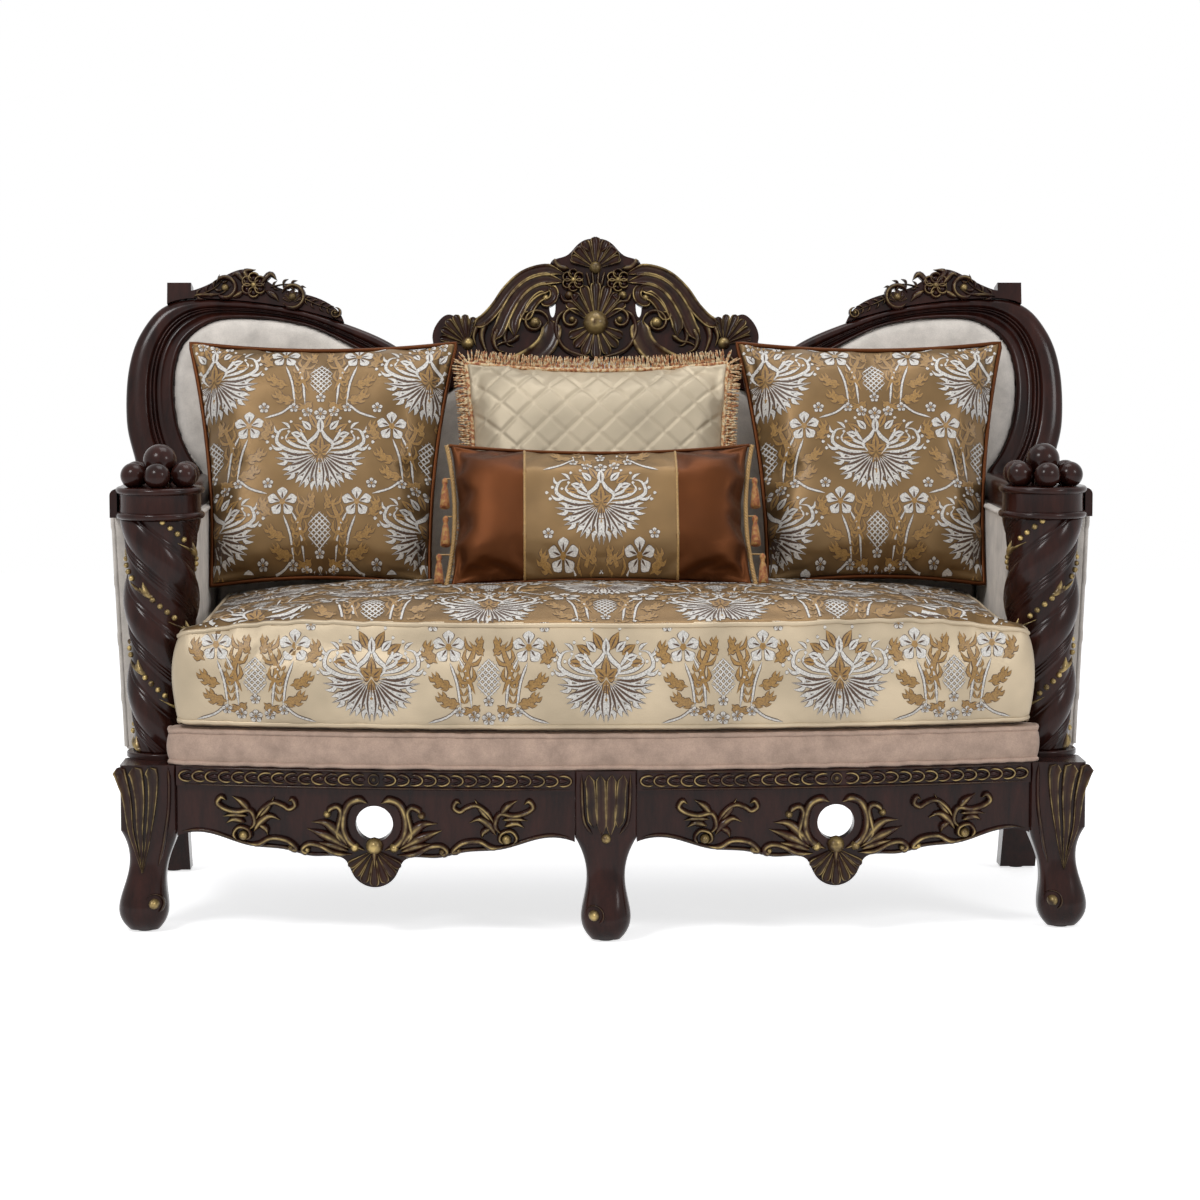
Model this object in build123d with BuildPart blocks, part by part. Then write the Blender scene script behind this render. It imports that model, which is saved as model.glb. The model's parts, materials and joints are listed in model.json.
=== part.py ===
"""Carved loveseat: a bow-fronted show-wood frame with twisted arm columns, a winged back under a
pierced crest, a sprung and padded seat, one loose T-shaped seat cushion and four loose pillows.

Millimetres. Seen from the front, +X points right, +Y to the back and +Z up.
The origin is on the floor under the middle of the overall box.
"""

import math
import os

from build123d import *

os.makedirs("parts", exist_ok=True)

# Clearances
gap = 0.3                      # rest gap between pieces that sit against each other
bolt_play = 0.2                # radial play of a bolt in its hole

# Front rail and bow
front_y = -406.4               # face of the front rail on the centre line
bow_depth = 95.0               # how far the centre stands forward of the corners
bow_half_span = 790.0          # half span over which the bow is measured
rail_top = 304.0               # top of the seat rails above the floor
apron_thickness = 32.0
moulding_height = 36.0
moulding_proud = 8.0           # the chain moulding stands this far forward of the apron

# Legs
leg_block = 100.0              # square knee block at each front corner
leg_x = 815.0                  # centre of a corner leg block
leg_y = -276.4
leg_block_depth = 118.0        # height of the straight knee block
knee_throw = 12.0              # how far the knee and foot lean out on the diagonal
centre_leg_width = 109.0
centre_leg_depth = 62.0
foot_height = 105.0            # height of the scroll foot
foot_belly = 58.0              # height of its fullest place above the glide
foot_width = 84.0
foot_round = 34.0
sole_width = 52.0
sole_round = 16.0
shank_width = 78.0
shank_rise = 40.0              # height above the ankle where the shank is measured
shank_round = 20.0
centre_shank_depth = 56.0
ankle_width = 68.0
ankle_round = 22.0
block_round = 8.0
block_proud = 6.0              # the centre block stands this far forward of the moulding
toe_throw = 10.0
ankle_throw = 3.0
toe_depth = 76.0
glide_radius = 14.0
glide_height = 4.0

# Apron outline, measured from the middle of each half
shell_drop = 212.0             # from rail top down to the tip of the carved shell
shell_half = 52.0
scallop_drop = 158.0           # to the low scrolls beside the shell
wave_drop = 142.0              # to the wave between scroll and leg
shoulder_drop = 122.0          # to the raised ends beside the legs
shell_shoulder = 37.0          # half width of the shell a little above its tip
shell_tip = 20.0               # height of that place above the tip
scallop_at = 109.0             # distance of the scallop, the waves and the shoulder from the shell
wave_start = 156.0
wave_end = 224.0
shoulder_at = 296.0
edge_dip = 6.0                 # small dips between the scrolls
pierce_width = 66.0
pierce_height = 64.0
pierce_drop = 98.0             # to the middle of the pierced heart

# Inner seat frame
inner_rail_thickness = 32.0
inner_rail_height = 60.0
inner_rail_y = -281.4          # front face of the inner front rail
side_rail_x = 800.0            # inner face of the side rails
side_rail_thickness = 42.0
side_rail_height = 92.0
side_rail_arch = 26.0          # rise of the arched lower edge of a side rail
back_rail_thickness = 36.0
cross_rail_width = 44.0
cross_rail_height = 28.0
brace_height = 34.0
brace_reach = 84.0
bolt_radius = 4.0
bolt_length = 74.0
bolt_head_radius = 7.5
bolt_head_height = 5.5

# Springs and decking
spring_count = 10
spring_pitch = 138.0
spring_half_width = 22.0
spring_step = 20.0
spring_bend = 8.0
spring_wire = 3.8
spring_drop = 19.0             # spring plane below the rail top
clip_depth = 12.0
clip_width = 58.0
clip_height = 14.0
deck_cloth = 2.0
dust_cover_thickness = 1.5

# Seat platform and loose seat cushion
platform_height = 68.0
platform_half = 776.0
platform_inner_half = 728.0
platform_proud = 4.0
platform_round = 16.0
ear_back_y = -284.4            # back of the ears in front of the columns
cushion_half = 764.0
cushion_inner_half = 716.0
cushion_proud = 10.0
cushion_side_height = 172.0    # height of the boxing at the corners
cushion_front_rise = 22.0      # extra height at the middle of the front edge
cushion_crown = 34.0           # crown above the front edge
cushion_round = 15.0
cushion_front_swell = 18.0

# Arm columns
column_x = 800.0
column_y = -196.4
column_top_radius = 73.0
column_foot_radius = 61.0
column_lobe = 5.0              # depth of the twist
column_turns = 1.5
twist_starts = 2
twist_sections = 31
band_angle = 112.0             # share of the round taken by each plain band
plinth_radius = 66.0
plinth_height = 10.0
capital_height = 58.0
capital_radius = 80.0
arm_top = 736.0                # height of the arm and of the column shaft's top
ball_radius = 23.5
ball_ring = 52.0
ball_count = 6
ball_sink = 3.0                # each ball is bedded this far into the capital
crown_ball_radius = 30.0
crown_ball_lift = 16.0
capital_bead = 13.0
capital_cove = 7.0             # depth of the cove between the capital's beads

# Arms
arm_inner = 746.0
arm_outer = 896.0
arm_foot_outer = 876.0         # the outside arm leans in towards the rail
arm_pad_skin = 26.0            # padding over the arm's board
arm_board = 24.0
rest_inner = 754.0             # moulded arm rest over the padding
rest_outer = 893.0
rest_height = 52.0
rest_round = 12.0
rest_front_y = -187.4          # tips of the rest either side of the capital

# Back
back_y = 268.6                 # face of the back frame at the reference height
back_ref = 560.0
back_lean = 12.0
frame_front = 20.0             # the show-wood stands this far forward of the back plane
frame_rear = 45.0              # and this far behind it
post_thickness = 60.0
post_inner = 802.0
post_width = 70.0
post_foot_y = 356.6            # back of the rear foot on the floor
post_foot_depth = 50.0
block_height = 46.0
block_inner = 766.0
block_inset = 30.0             # the block's outer face stands in from the widest place of the wing
wing_x = 922.0                 # widest place of the wings
wing_top = 1125.0              # top of the wing moulding
frame_top_width = 48.0         # width of the wing moulding where it meets the crest
ear_cap_width = 47.0
ear_cap_height = 31.0
leaf_rise = 57.0               # leaf carving above the wing moulding
carving_inset = 8.0
crest_half = 320.0
crest_foot = 935.0             # lowest points of the crest, at its ends
crest_arch = 1006.0            # underside of the crest on the centre line
crest_top = 1241.0
crest_front = 15.0
crest_rear = 30.0
pierce_slot = 25.0             # half height of the long piercings in the crest
pad_front = 8.0
pad_round = 16.0
pad_rear = 11.0
pad_foot_lift = 6.0
pad_side = 735.0
seam_x = 262.0                 # seams between the three velvet back panels
outside_back_thickness = 11.0
outside_back_foot = 312.0
stile_x = 300.0
stile_rear = 44.0
stile_front = 12.0
stile_width = 50.0
tie_height = 60.0
tie_z = 470.0

# Pillows: width, height, thickness, lean, height of the bottom edge and depth of it
brocade_width = 516.0
brocade_height = 486.0
brocade_thickness = 140.0
brocade_x = 530.0
brocade_y = 112.6
brocade_lean = 20.0
brocade_tuck = 50.0            # its foot is squeezed in between the arms by this much each side
quilted_width = 508.0
quilted_height = 446.0
quilted_thickness = 126.0
quilted_y = 68.6
quilted_lean = 22.0
lumbar_width = 566.0
lumbar_height = 292.0
lumbar_thickness = 112.0
lumbar_y = -87.4
lumbar_lean = 29.0
draw_in = 16.0                 # how far a pillow's sides pull in between its corners
rim_thickness = 12.0           # thickness of a pillow at its sewn edge
crown_swell = 0.35             # how fast the outline rounds out towards the crown
fringe_reach = 26.0
fringe_thickness = 6.0
braid_radius = 4.5
tassel_radius = 9.0
tassel_length = 62.0
tassel_pitch = 78.0
tassel_count = 3
cord_width = 3.0

# Values worked out from the dimensions above
bow_radius = (bow_half_span**2 + bow_depth**2) / (2 * bow_depth)
corner_leg_inner = leg_x - leg_block / 2
centre_leg_half = centre_leg_width / 2
platform_bottom = rail_top + gap
platform_top = platform_bottom + platform_height
cushion_bottom = platform_top + gap
cushion_top = cushion_bottom + cushion_side_height + cushion_front_rise + cushion_crown
lean_tan = math.tan(math.radians(back_lean))
lean_cos = math.cos(math.radians(back_lean))


def face_y(x, proud=0.0):
    """Depth of the bowed front at x, moved forward by proud."""
    return front_y + bow_radius - math.sqrt((bow_radius + proud) ** 2 - x**2)


def back_at(z, forward=0.0):
    """Depth of the leaning back plane at height z, moved forward square to that plane."""
    return back_y + (z - back_ref) * lean_tan - forward / lean_cos


def back_point(z, forward=0.0):
    """Depth and height of the point square to the back plane in front of its height z."""
    lean = math.radians(back_lean)
    return (back_at(z) - forward * math.cos(lean), z + forward * math.sin(lean))


def slope(z):
    """Distance along the leaning back plane that reaches height z."""
    return (z - back_ref) / lean_cos


def back_plane(forward=0.0):
    """Sketch plane on the back, x across and y up the lean, facing the sitter."""
    lean = math.radians(back_lean)
    normal = (0, -math.cos(lean), math.sin(lean))
    origin = (0, back_y + forward * normal[1], back_ref + forward * normal[2])
    return Plane(origin=origin, x_dir=(1, 0, 0), z_dir=normal)


def on_back(points):
    """Points (x, height) as sketch points of the back plane."""
    return [(x, slope(z)) for x, z in points]


def column_point(radius, angle):
    """Point at that radius and angle round the right-hand column's axis."""
    turn = math.radians(angle)
    return (column_x + radius * math.cos(turn), column_y + radius * math.sin(turn))


def save(piece, name):
    """Labels a finished piece and writes it."""
    piece.part.label = name
    export_step(piece.part, f"parts/{name}.step")


def save_pair(piece, name):
    """Writes the piece on +X as the right one and its mirror image as the left one."""
    save(piece, f"{name}_right")
    with BuildPart() as twin:
        mirror(piece.part, about=Plane.YZ)
    save(twin, f"{name}_left")


def bow_band(x0, x1, proud, thickness):
    """Closed plan outline of a curved board of that thickness that follows the bow."""
    middle = (x0 + x1) / 2
    inner = proud - thickness
    ThreePointArc(
        (x0, face_y(x0, proud)), (middle, face_y(middle, proud)), (x1, face_y(x1, proud))
    )
    Line((x1, face_y(x1, proud)), (x1, face_y(x1, inner)))
    ThreePointArc(
        (x1, face_y(x1, inner)), (middle, face_y(middle, inner)), (x0, face_y(x0, inner))
    )
    Line((x0, face_y(x0, inner)), (x0, face_y(x0, proud)))


# Front corner legs: a square knee block, a tapering shank and a scroll foot thrown out on the diagonal.
# Each section is (height, width, depth, corner radius, x, y).
block_foot = rail_top - leg_block_depth
ankle_z = foot_height + glide_height
mid_foot = glide_height + foot_belly
bolt_axis = Plane(
    origin=(corner_leg_inner, leg_y + leg_block / 2, rail_top - spring_drop - brace_height / 2),
    z_dir=(1, -1, 0),
)
shank_z = ankle_z + shank_rise
corner_leg_sections = [
    (block_foot, leg_block, leg_block, block_round, leg_x, leg_y),
    (shank_z, shank_width, shank_width, shank_round, leg_x, leg_y),
    (ankle_z, ankle_width, ankle_width, ankle_round, leg_x + knee_throw / 2, leg_y - knee_throw / 2),
    (mid_foot, foot_width, foot_width, foot_round, leg_x + knee_throw, leg_y - knee_throw),
    (glide_height, sole_width, sole_width, sole_round, leg_x + knee_throw, leg_y - knee_throw),
]
with BuildPart() as corner_leg:
    for height, width, depth, corner, x, y in corner_leg_sections:
        with BuildSketch(Plane.XY.offset(height)):
            with Locations((x, y)):
                RectangleRounded(width, depth, corner)
    loft()
    with BuildSketch(Plane.XY.offset(block_foot)):
        with Locations((leg_x, leg_y)):
            RectangleRounded(leg_block, leg_block, block_round)
    extrude(amount=leg_block_depth)
    with BuildSketch(bolt_axis):
        Circle(bolt_radius + bolt_play)
    extrude(amount=bolt_length / 2, mode=Mode.SUBTRACT)
save_pair(corner_leg, "front_leg")

# Centre front leg, under the middle of the bow
centre_leg_y = front_y - moulding_proud - block_proud + centre_leg_depth / 2
toe_y = centre_leg_y - toe_throw
centre_leg_sections = [
    (block_foot, centre_leg_width, centre_leg_depth, block_round, centre_leg_y),
    (shank_z, shank_width, centre_shank_depth, shank_round, centre_leg_y),
    (ankle_z, ankle_width, centre_shank_depth, ankle_round, centre_leg_y - ankle_throw),
    (mid_foot, foot_width, toe_depth, foot_round, toe_y),
    (glide_height, sole_width, sole_width, sole_round, toe_y),
]
with BuildPart() as centre_leg:
    for height, width, depth, corner, y in centre_leg_sections:
        with BuildSketch(Plane.XY.offset(height)):
            with Locations((0, y)):
                RectangleRounded(width, depth, corner)
    loft()
    with BuildSketch(Plane.XY.offset(block_foot)):
        with Locations((0, centre_leg_y)):
            RectangleRounded(centre_leg_width, centre_leg_depth, block_round)
    extrude(amount=leg_block_depth)
save(centre_leg, "front_leg_centre")

# Rear legs run up past the rail as the posts of the back
post_top = arm_top - block_height
with BuildPart() as rear_leg:
    with BuildSketch(Plane.YZ.offset(post_inner)) as rear_profile:
        with BuildLine():
            Polyline(
                (post_foot_y - post_foot_depth, glide_height),
                (back_at(rail_top), block_foot),
                (back_at(rail_top), rail_top),
                back_point(post_top),
                back_point(post_top, -post_thickness),
                (back_at(rail_top, -post_thickness), rail_top),
                (back_at(rail_top, -post_thickness), block_foot),
                (post_foot_y, glide_height),
                close=True,
            )
        make_face()
    extrude(amount=post_width)
save_pair(rear_leg, "rear_leg")

# Glides nailed under the five legs
rear_sole = (post_inner + post_width / 2, post_foot_y - post_foot_depth / 2)
front_sole = (leg_x + knee_throw, leg_y - knee_throw)
with BuildPart() as glides:
    with Locations(
        front_sole, (-front_sole[0], front_sole[1]), (0, toe_y), rear_sole, (-rear_sole[0], rear_sole[1])
    ):
        Cylinder(glide_radius, glide_height, align=(Align.CENTER, Align.CENTER, Align.MIN))
save(glides, "foot_glides")

# Pierced apron between the centre leg and each corner leg
apron_start = centre_leg_half + gap
apron_end = corner_leg_inner - gap
apron_middle = (apron_start + apron_end) / 2
apron_half = (apron_end - apron_start) / 2
moulding_foot = rail_top - moulding_height


def apron_edge():
    """Front-view outline of one apron: scalloped foot with a shell at its middle."""
    right = [
        (shell_shoulder, shell_drop - shell_tip),
        (shell_half, scallop_drop + edge_dip),
        (scallop_at, scallop_drop),
        (wave_start, wave_drop + edge_dip),
        (wave_end, wave_drop),
        (shoulder_at, shoulder_drop),
        (apron_half, shoulder_drop + edge_dip),
    ]
    points = [(apron_middle - t, rail_top - drop) for t, drop in reversed(right)]
    points.append((apron_middle, rail_top - shell_drop))
    points += [(apron_middle + t, rail_top - drop) for t, drop in right]
    edge = Spline(*points)
    Polyline(edge @ 1, (apron_end, moulding_foot), (apron_start, moulding_foot), edge @ 0)


with BuildPart() as apron:
    with BuildSketch(Plane.XZ):
        with BuildLine():
            apron_edge()
        make_face()
        with Locations((apron_middle, rail_top - pierce_drop)):
            Ellipse(pierce_width / 2, pierce_height / 2, mode=Mode.SUBTRACT)
    extrude(amount=-2 * front_y, both=True)
    with BuildSketch(Plane.XY):
        with BuildLine():
            bow_band(apron_start, apron_end, 0, apron_thickness)
        make_face()
    extrude(amount=rail_top, mode=Mode.INTERSECT)
save_pair(apron, "front_apron")

# Chain moulding along the top of the apron
with BuildPart() as moulding:
    with BuildSketch(Plane.XY.offset(moulding_foot)):
        with BuildLine():
            bow_band(apron_start, apron_end, moulding_proud, apron_thickness + moulding_proud)
        make_face()
    extrude(amount=moulding_height)
save_pair(moulding, "front_moulding")

# Inner seat frame: straight front rail, side rails, back rail and a cross rail under the springs
inner_rail_foot = rail_top - inner_rail_height
inner_rail_back = inner_rail_y + inner_rail_thickness
with BuildPart() as inner_front_rail:
    with BuildSketch(Plane.XY.offset(inner_rail_foot)):
        with Locations((0, inner_rail_y + inner_rail_thickness / 2)):
            Rectangle(2 * (corner_leg_inner - gap), inner_rail_thickness)
    extrude(amount=inner_rail_height)
save(inner_front_rail, "inner_front_rail")

side_rail_start = leg_y + leg_block / 2 + gap
side_rail_end = back_at(rail_top) - gap
with BuildPart() as side_rail:
    with BuildSketch(Plane.YZ.offset(side_rail_x)):
        with BuildLine():
            middle_y = (side_rail_start + side_rail_end) / 2
            low = rail_top - side_rail_height
            Polyline(
                (side_rail_end, low),
                (side_rail_end, rail_top),
                (side_rail_start, rail_top),
                (side_rail_start, low),
            )
            ThreePointArc((side_rail_start, low), (middle_y, low + side_rail_arch), (side_rail_end, low))
        make_face()
    extrude(amount=side_rail_thickness)
save_pair(side_rail, "side_rail")

back_rail_y = back_at(rail_top) + gap
with BuildPart() as back_rail:
    with BuildSketch(Plane.XY.offset(rail_top - side_rail_height)):
        with Locations((0, back_rail_y + back_rail_thickness / 2)):
            Rectangle(2 * (post_inner - gap), back_rail_thickness)
    extrude(amount=side_rail_height)
save(back_rail, "back_seat_rail")

with BuildPart() as cross_rail:
    with BuildSketch(Plane.XY.offset(inner_rail_foot)):
        with Locations((0, (inner_rail_back + back_rail_y) / 2)):
            Rectangle(cross_rail_width, back_rail_y - inner_rail_back - 2 * gap)
    extrude(amount=cross_rail_height)
save(cross_rail, "seat_cross_rail")

# Corner braces behind the front legs, each drawn up to its leg by a diagonal bolt
brace_top = rail_top - spring_drop
leg_back = leg_y + leg_block / 2
with BuildPart() as braces:
    with BuildSketch(Plane.XY.offset(brace_top - brace_height)):
        with BuildLine():
            Polyline(
                (corner_leg_inner - brace_reach, inner_rail_back + gap),
                (corner_leg_inner - gap, inner_rail_back + gap),
                (corner_leg_inner - gap, leg_back + gap),
                (side_rail_x - gap, leg_back + gap),
                (side_rail_x - gap, leg_back + brace_reach),
                close=True,
            )
        make_face()
    extrude(amount=brace_height)
    with BuildSketch(bolt_axis):
        Circle(bolt_radius + bolt_play)
    extrude(amount=bolt_length, both=True, mode=Mode.SUBTRACT)
    mirror(about=Plane.YZ)
save(braces, "corner_braces")

# The bolt's head bears on the sloping face of the brace
brace_start = (corner_leg_inner - brace_reach, inner_rail_back + gap)
brace_end = (side_rail_x - gap, leg_back + brace_reach)
brace_run = (brace_end[0] - brace_start[0], brace_end[1] - brace_start[1])
along_face = brace_run[1] * (corner_leg_inner - brace_start[0]) - brace_run[0] * (leg_back - brace_start[1])
head_seat = math.sqrt(2) * along_face / (brace_run[0] + brace_run[1])
with BuildPart() as bolts:
    bolt_seat = bolt_axis.offset(-head_seat - bolt_head_height - 2 * gap)
    with BuildSketch(bolt_seat):
        Circle(bolt_radius)
    extrude(amount=bolt_length)
    with BuildSketch(bolt_seat):
        RegularPolygon(bolt_head_radius, 6)
    extrude(amount=bolt_head_height)
    mirror(about=Plane.YZ)
save(bolts, "leg_bolts")

# Zigzag seat springs between clips on the front and back rails
spring_z = rail_top - spring_drop
clip_front = inner_rail_back + gap + clip_depth
clip_back = back_rail_y - gap - clip_depth
spring_front = clip_front + spring_wire / 2 + gap
spring_back = clip_back - spring_wire / 2 - gap
spring_bends = int((spring_back - spring_front) / spring_step) // 2 * 2 - 1
spring_run = (spring_back - spring_front) / (spring_bends + 1)
spring_row = [(i - (spring_count - 1) / 2) * spring_pitch for i in range(spring_count)]
zigzag = [(0, spring_front)]
for bend in range(spring_bends):
    side = spring_half_width if bend % 2 else -spring_half_width
    zigzag.append((side, spring_front + (bend + 1) * spring_run - spring_run / 2))
    zigzag.append((side, spring_front + (bend + 1) * spring_run + spring_run / 2))
zigzag.append((0, spring_back))
with BuildPart() as one_spring:
    with BuildLine(Plane.XY.offset(spring_z)) as spring_path:
        FilletPolyline(*zigzag, radius=spring_bend)
    with BuildSketch(Plane(origin=spring_path.line @ 0, z_dir=spring_path.line % 0)):
        Circle(spring_wire / 2)
    sweep()
with BuildPart() as springs:
    with Locations(*[(x, 0, 0) for x in spring_row]):
        add(one_spring.part)
save(springs, "seat_springs")

with BuildPart() as clips:
    for x in spring_row:
        with Locations(
            (x, clip_front - clip_depth / 2, spring_z), (x, clip_back + clip_depth / 2, spring_z)
        ):
            Box(clip_width, clip_depth, clip_height)
save(clips, "spring_clips")

deck_front = inner_rail_back + gap
deck_back = back_rail_y - gap
deck_bottom = spring_z + clip_height / 2 + gap
deck_half = side_rail_x - gap - brace_reach
with BuildPart() as deck:
    with BuildSketch(Plane.XY.offset(deck_bottom)):
        with Locations((0, (deck_front + deck_back) / 2)):
            Rectangle(2 * deck_half, deck_back - deck_front)
    extrude(amount=deck_cloth)
save(deck, "deck_cloth")

with BuildPart() as felt:
    with BuildSketch(Plane.XY.offset(deck_bottom + deck_cloth + gap)):
        with Locations((0, (deck_front + deck_back) / 2)):
            Rectangle(2 * deck_half, deck_back - deck_front)
    extrude(amount=rail_top - deck_bottom - deck_cloth - gap)
save(felt, "seat_felt")

with BuildPart() as dust_cover:
    with BuildSketch(Plane.XY.offset(inner_rail_foot - gap - dust_cover_thickness)):
        with Locations((0, (inner_rail_y + back_rail_y) / 2)):
            Rectangle(2 * (corner_leg_inner - gap), back_rail_y - inner_rail_y - 2 * gap)
    extrude(amount=dust_cover_thickness)
save(dust_cover, "dust_cover")


# Seat platform: a padded velvet border in front of the columns and a deck between the arms
def seat_outline(front_half, inner_half, proud, back):
    """T-shaped plan: bowed front between the ears, narrower behind the columns."""
    ThreePointArc(
        (-front_half, face_y(front_half, proud)),
        (0, face_y(0, proud)),
        (front_half, face_y(front_half, proud)),
    )
    Polyline(
        (front_half, face_y(front_half, proud)),
        (front_half, ear_back_y),
        (inner_half, ear_back_y),
        (inner_half, back),
        (-inner_half, back),
        (-inner_half, ear_back_y),
        (-front_half, ear_back_y),
        (-front_half, face_y(front_half, proud)),
    )


pad_face = pad_front + pad_round
platform_back = back_at(platform_bottom, pad_face) - gap
with BuildPart() as platform:
    with BuildSketch(Plane.XY.offset(platform_bottom)):
        with BuildLine():
            seat_outline(platform_half, platform_inner_half, platform_proud, platform_back)
        make_face()
    extrude(amount=platform_height)
    fillet(platform.edges().group_by(Axis.Z)[-1].filter_by(GeomType.CIRCLE), platform_round)
save(platform, "seat_platform")

# Loose seat cushion: boxed T shape, crowned both ways, its front swelling over the platform
cushion_back = back_at(cushion_bottom, pad_face) - gap
cushion_corner_top = cushion_bottom + cushion_side_height
cushion_front_top = cushion_corner_top + cushion_front_rise
cushion_front = face_y(0, cushion_proud + cushion_front_swell)
with BuildPart() as cushion:
    with BuildSketch(Plane.XY.offset(cushion_bottom)):
        with BuildLine():
            seat_outline(cushion_half, cushion_inner_half, cushion_proud, cushion_back)
        make_face()
    extrude(amount=cushion_top - cushion_bottom + cushion_crown)
    with BuildSketch(Plane.XZ):
        with BuildLine():
            across = ThreePointArc(
                (cushion_half, cushion_corner_top + cushion_crown / 2),
                (0, cushion_top),
                (-cushion_half, cushion_corner_top + cushion_crown / 2),
            )
            Polyline(across @ 1, (-cushion_half, cushion_bottom), (cushion_half, cushion_bottom), across @ 0)
        make_face()
    extrude(amount=2 * bow_half_span, both=True, mode=Mode.INTERSECT)
    with BuildSketch(Plane.YZ):
        with BuildLine():
            along = ThreePointArc(
                (cushion_front, cushion_front_top),
                ((cushion_front + cushion_back) / 2, cushion_top),
                (cushion_back, cushion_front_top),
            )
            Polyline(along @ 1, (cushion_back, cushion_bottom), (cushion_front, cushion_bottom), along @ 0)
        make_face()
    extrude(amount=2 * bow_half_span, both=True, mode=Mode.INTERSECT)
    fillet(cushion.edges().filter_by(Axis.Z).group_by(Axis.Y)[0], cushion_round)
save(cushion, "seat_cushion")


# Arm columns: a two-start twist that tapers to a round plinth, under a turned capital
column_foot = rail_top + gap + plinth_height
column_height = arm_top - column_foot
with BuildPart() as column:
    for i in range(twist_sections):
        share = i / (twist_sections - 1)
        radius = column_foot_radius + (column_top_radius - column_foot_radius) * share
        with BuildSketch(Plane.XY.offset(column_foot + column_height * share)):
            with BuildLine():
                for start in range(twist_starts):
                    a0 = column_turns * 360 * share + start * 360 / twist_starts
                    a1 = a0 + band_angle
                    a2 = a0 + 360 / twist_starts
                    band = [(radius, a0), (radius, (a0 + a1) / 2), (radius, a1)]
                    flute = [(radius, a1), (radius - column_lobe, (a1 + a2) / 2), (radius, a2)]
                    for arc in (band, flute):
                        ThreePointArc(*[column_point(r, angle) for r, angle in arc])
            make_face()
    loft()
save_pair(column, "arm_column")

with BuildPart() as plinth:
    with Locations((column_x, column_y, rail_top + gap)):
        Cylinder(plinth_radius, plinth_height, align=(Align.CENTER, Align.CENTER, Align.MIN))
    fillet(plinth.faces().sort_by(Axis.Z)[-1].edges(), plinth_height / 3)
save_pair(plinth, "column_plinth")

# Turned capital: two beads either side of a shallow cove
capital_top = arm_top + capital_height
capital_plane = Plane(origin=(column_x, column_y, arm_top), x_dir=(1, 0, 0), z_dir=(0, -1, 0))
cove_radius = capital_radius - capital_cove
with BuildPart() as capital:
    with BuildSketch(capital_plane):
        with BuildLine():
            Line((0, 0), (capital_radius - capital_bead / 2, 0))
            lower = ThreePointArc(
                (capital_radius - capital_bead / 2, 0),
                (capital_radius, capital_bead / 2),
                (capital_radius - capital_bead / 2, capital_bead),
            )
            cove = ThreePointArc(
                lower @ 1,
                (cove_radius, capital_height / 2),
                (capital_radius - capital_bead / 2, capital_height - capital_bead),
            )
            upper = ThreePointArc(
                cove @ 1,
                (capital_radius, capital_height - capital_bead / 2),
                (capital_radius - capital_bead / 2, capital_height),
            )
            Polyline(upper @ 1, (0, capital_height), (0, 0))
        make_face()
    revolve(axis=Axis((column_x, column_y, 0), (0, 0, 1)))
save_pair(capital, "column_capital")

# Ring of balls round a taller one, each bedded on the capital
ball_floor = capital_top + gap
with BuildPart() as balls:
    with Locations((column_x, column_y, ball_floor + ball_radius - ball_sink)):
        with PolarLocations(ball_ring, ball_count, start_angle=-90):
            Sphere(ball_radius)
    with Locations((column_x, column_y, ball_floor + crown_ball_lift + crown_ball_radius)):
        Sphere(crown_ball_radius)
    with Locations((column_x, column_y, ball_floor)):
        Cylinder(
            crown_ball_radius / 2,
            crown_ball_lift + crown_ball_radius,
            align=(Align.CENTER, Align.CENTER, Align.MIN),
        )
    split(bisect_by=Plane.XY.offset(ball_floor), keep=Keep.TOP)
save_pair(balls, "capital_balls")

# Arms: a board from the seat rail to the arm top inside a padded velvet cover
arm_start = column_y + column_top_radius + gap
arm_foot = rail_top + gap
board_x = (arm_inner + arm_outer) / 2
board_top = arm_top - arm_pad_skin
with BuildPart() as arm_frame:
    with BuildSketch(Plane.YZ.offset(board_x - arm_board / 2)):
        with BuildLine():
            Polyline(
                (arm_start + arm_pad_skin, arm_foot),
                (back_at(arm_foot) - gap, arm_foot),
                (back_at(board_top) - gap, board_top),
                (arm_start + arm_pad_skin, board_top),
                close=True,
            )
        make_face()
    extrude(amount=arm_board)
save_pair(arm_frame, "arm_frame")

with BuildPart() as arm_pad:
    with BuildSketch(Plane.XZ):
        with BuildLine():
            Polyline(
                (arm_outer, arm_top),
                (arm_foot_outer, arm_foot),
                (arm_inner, arm_foot),
                (arm_inner, arm_top),
                close=True,
            )
        make_face()
    extrude(amount=2 * bow_half_span, both=True)
    with BuildSketch(Plane.YZ):
        with BuildLine():
            Polyline(
                (arm_start, arm_foot),
                (back_at(arm_foot) - gap, arm_foot),
                (back_at(arm_top) - gap, arm_top),
                (arm_start, arm_top),
                close=True,
            )
        make_face()
    extrude(amount=2 * bow_half_span, mode=Mode.INTERSECT)
    with BuildSketch(Plane.YZ.offset(board_x - arm_board / 2 - gap)):
        with BuildLine():
            Polyline(
                (arm_start + arm_pad_skin - gap, arm_foot),
                (back_at(arm_foot) + arm_board, arm_foot),
                (back_at(board_top) + arm_board, board_top + gap),
                (arm_start + arm_pad_skin - gap, board_top + gap),
                close=True,
            )
        make_face()
    extrude(amount=arm_board + 2 * gap, mode=Mode.SUBTRACT)
save_pair(arm_pad, "arm_pad")

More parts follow.
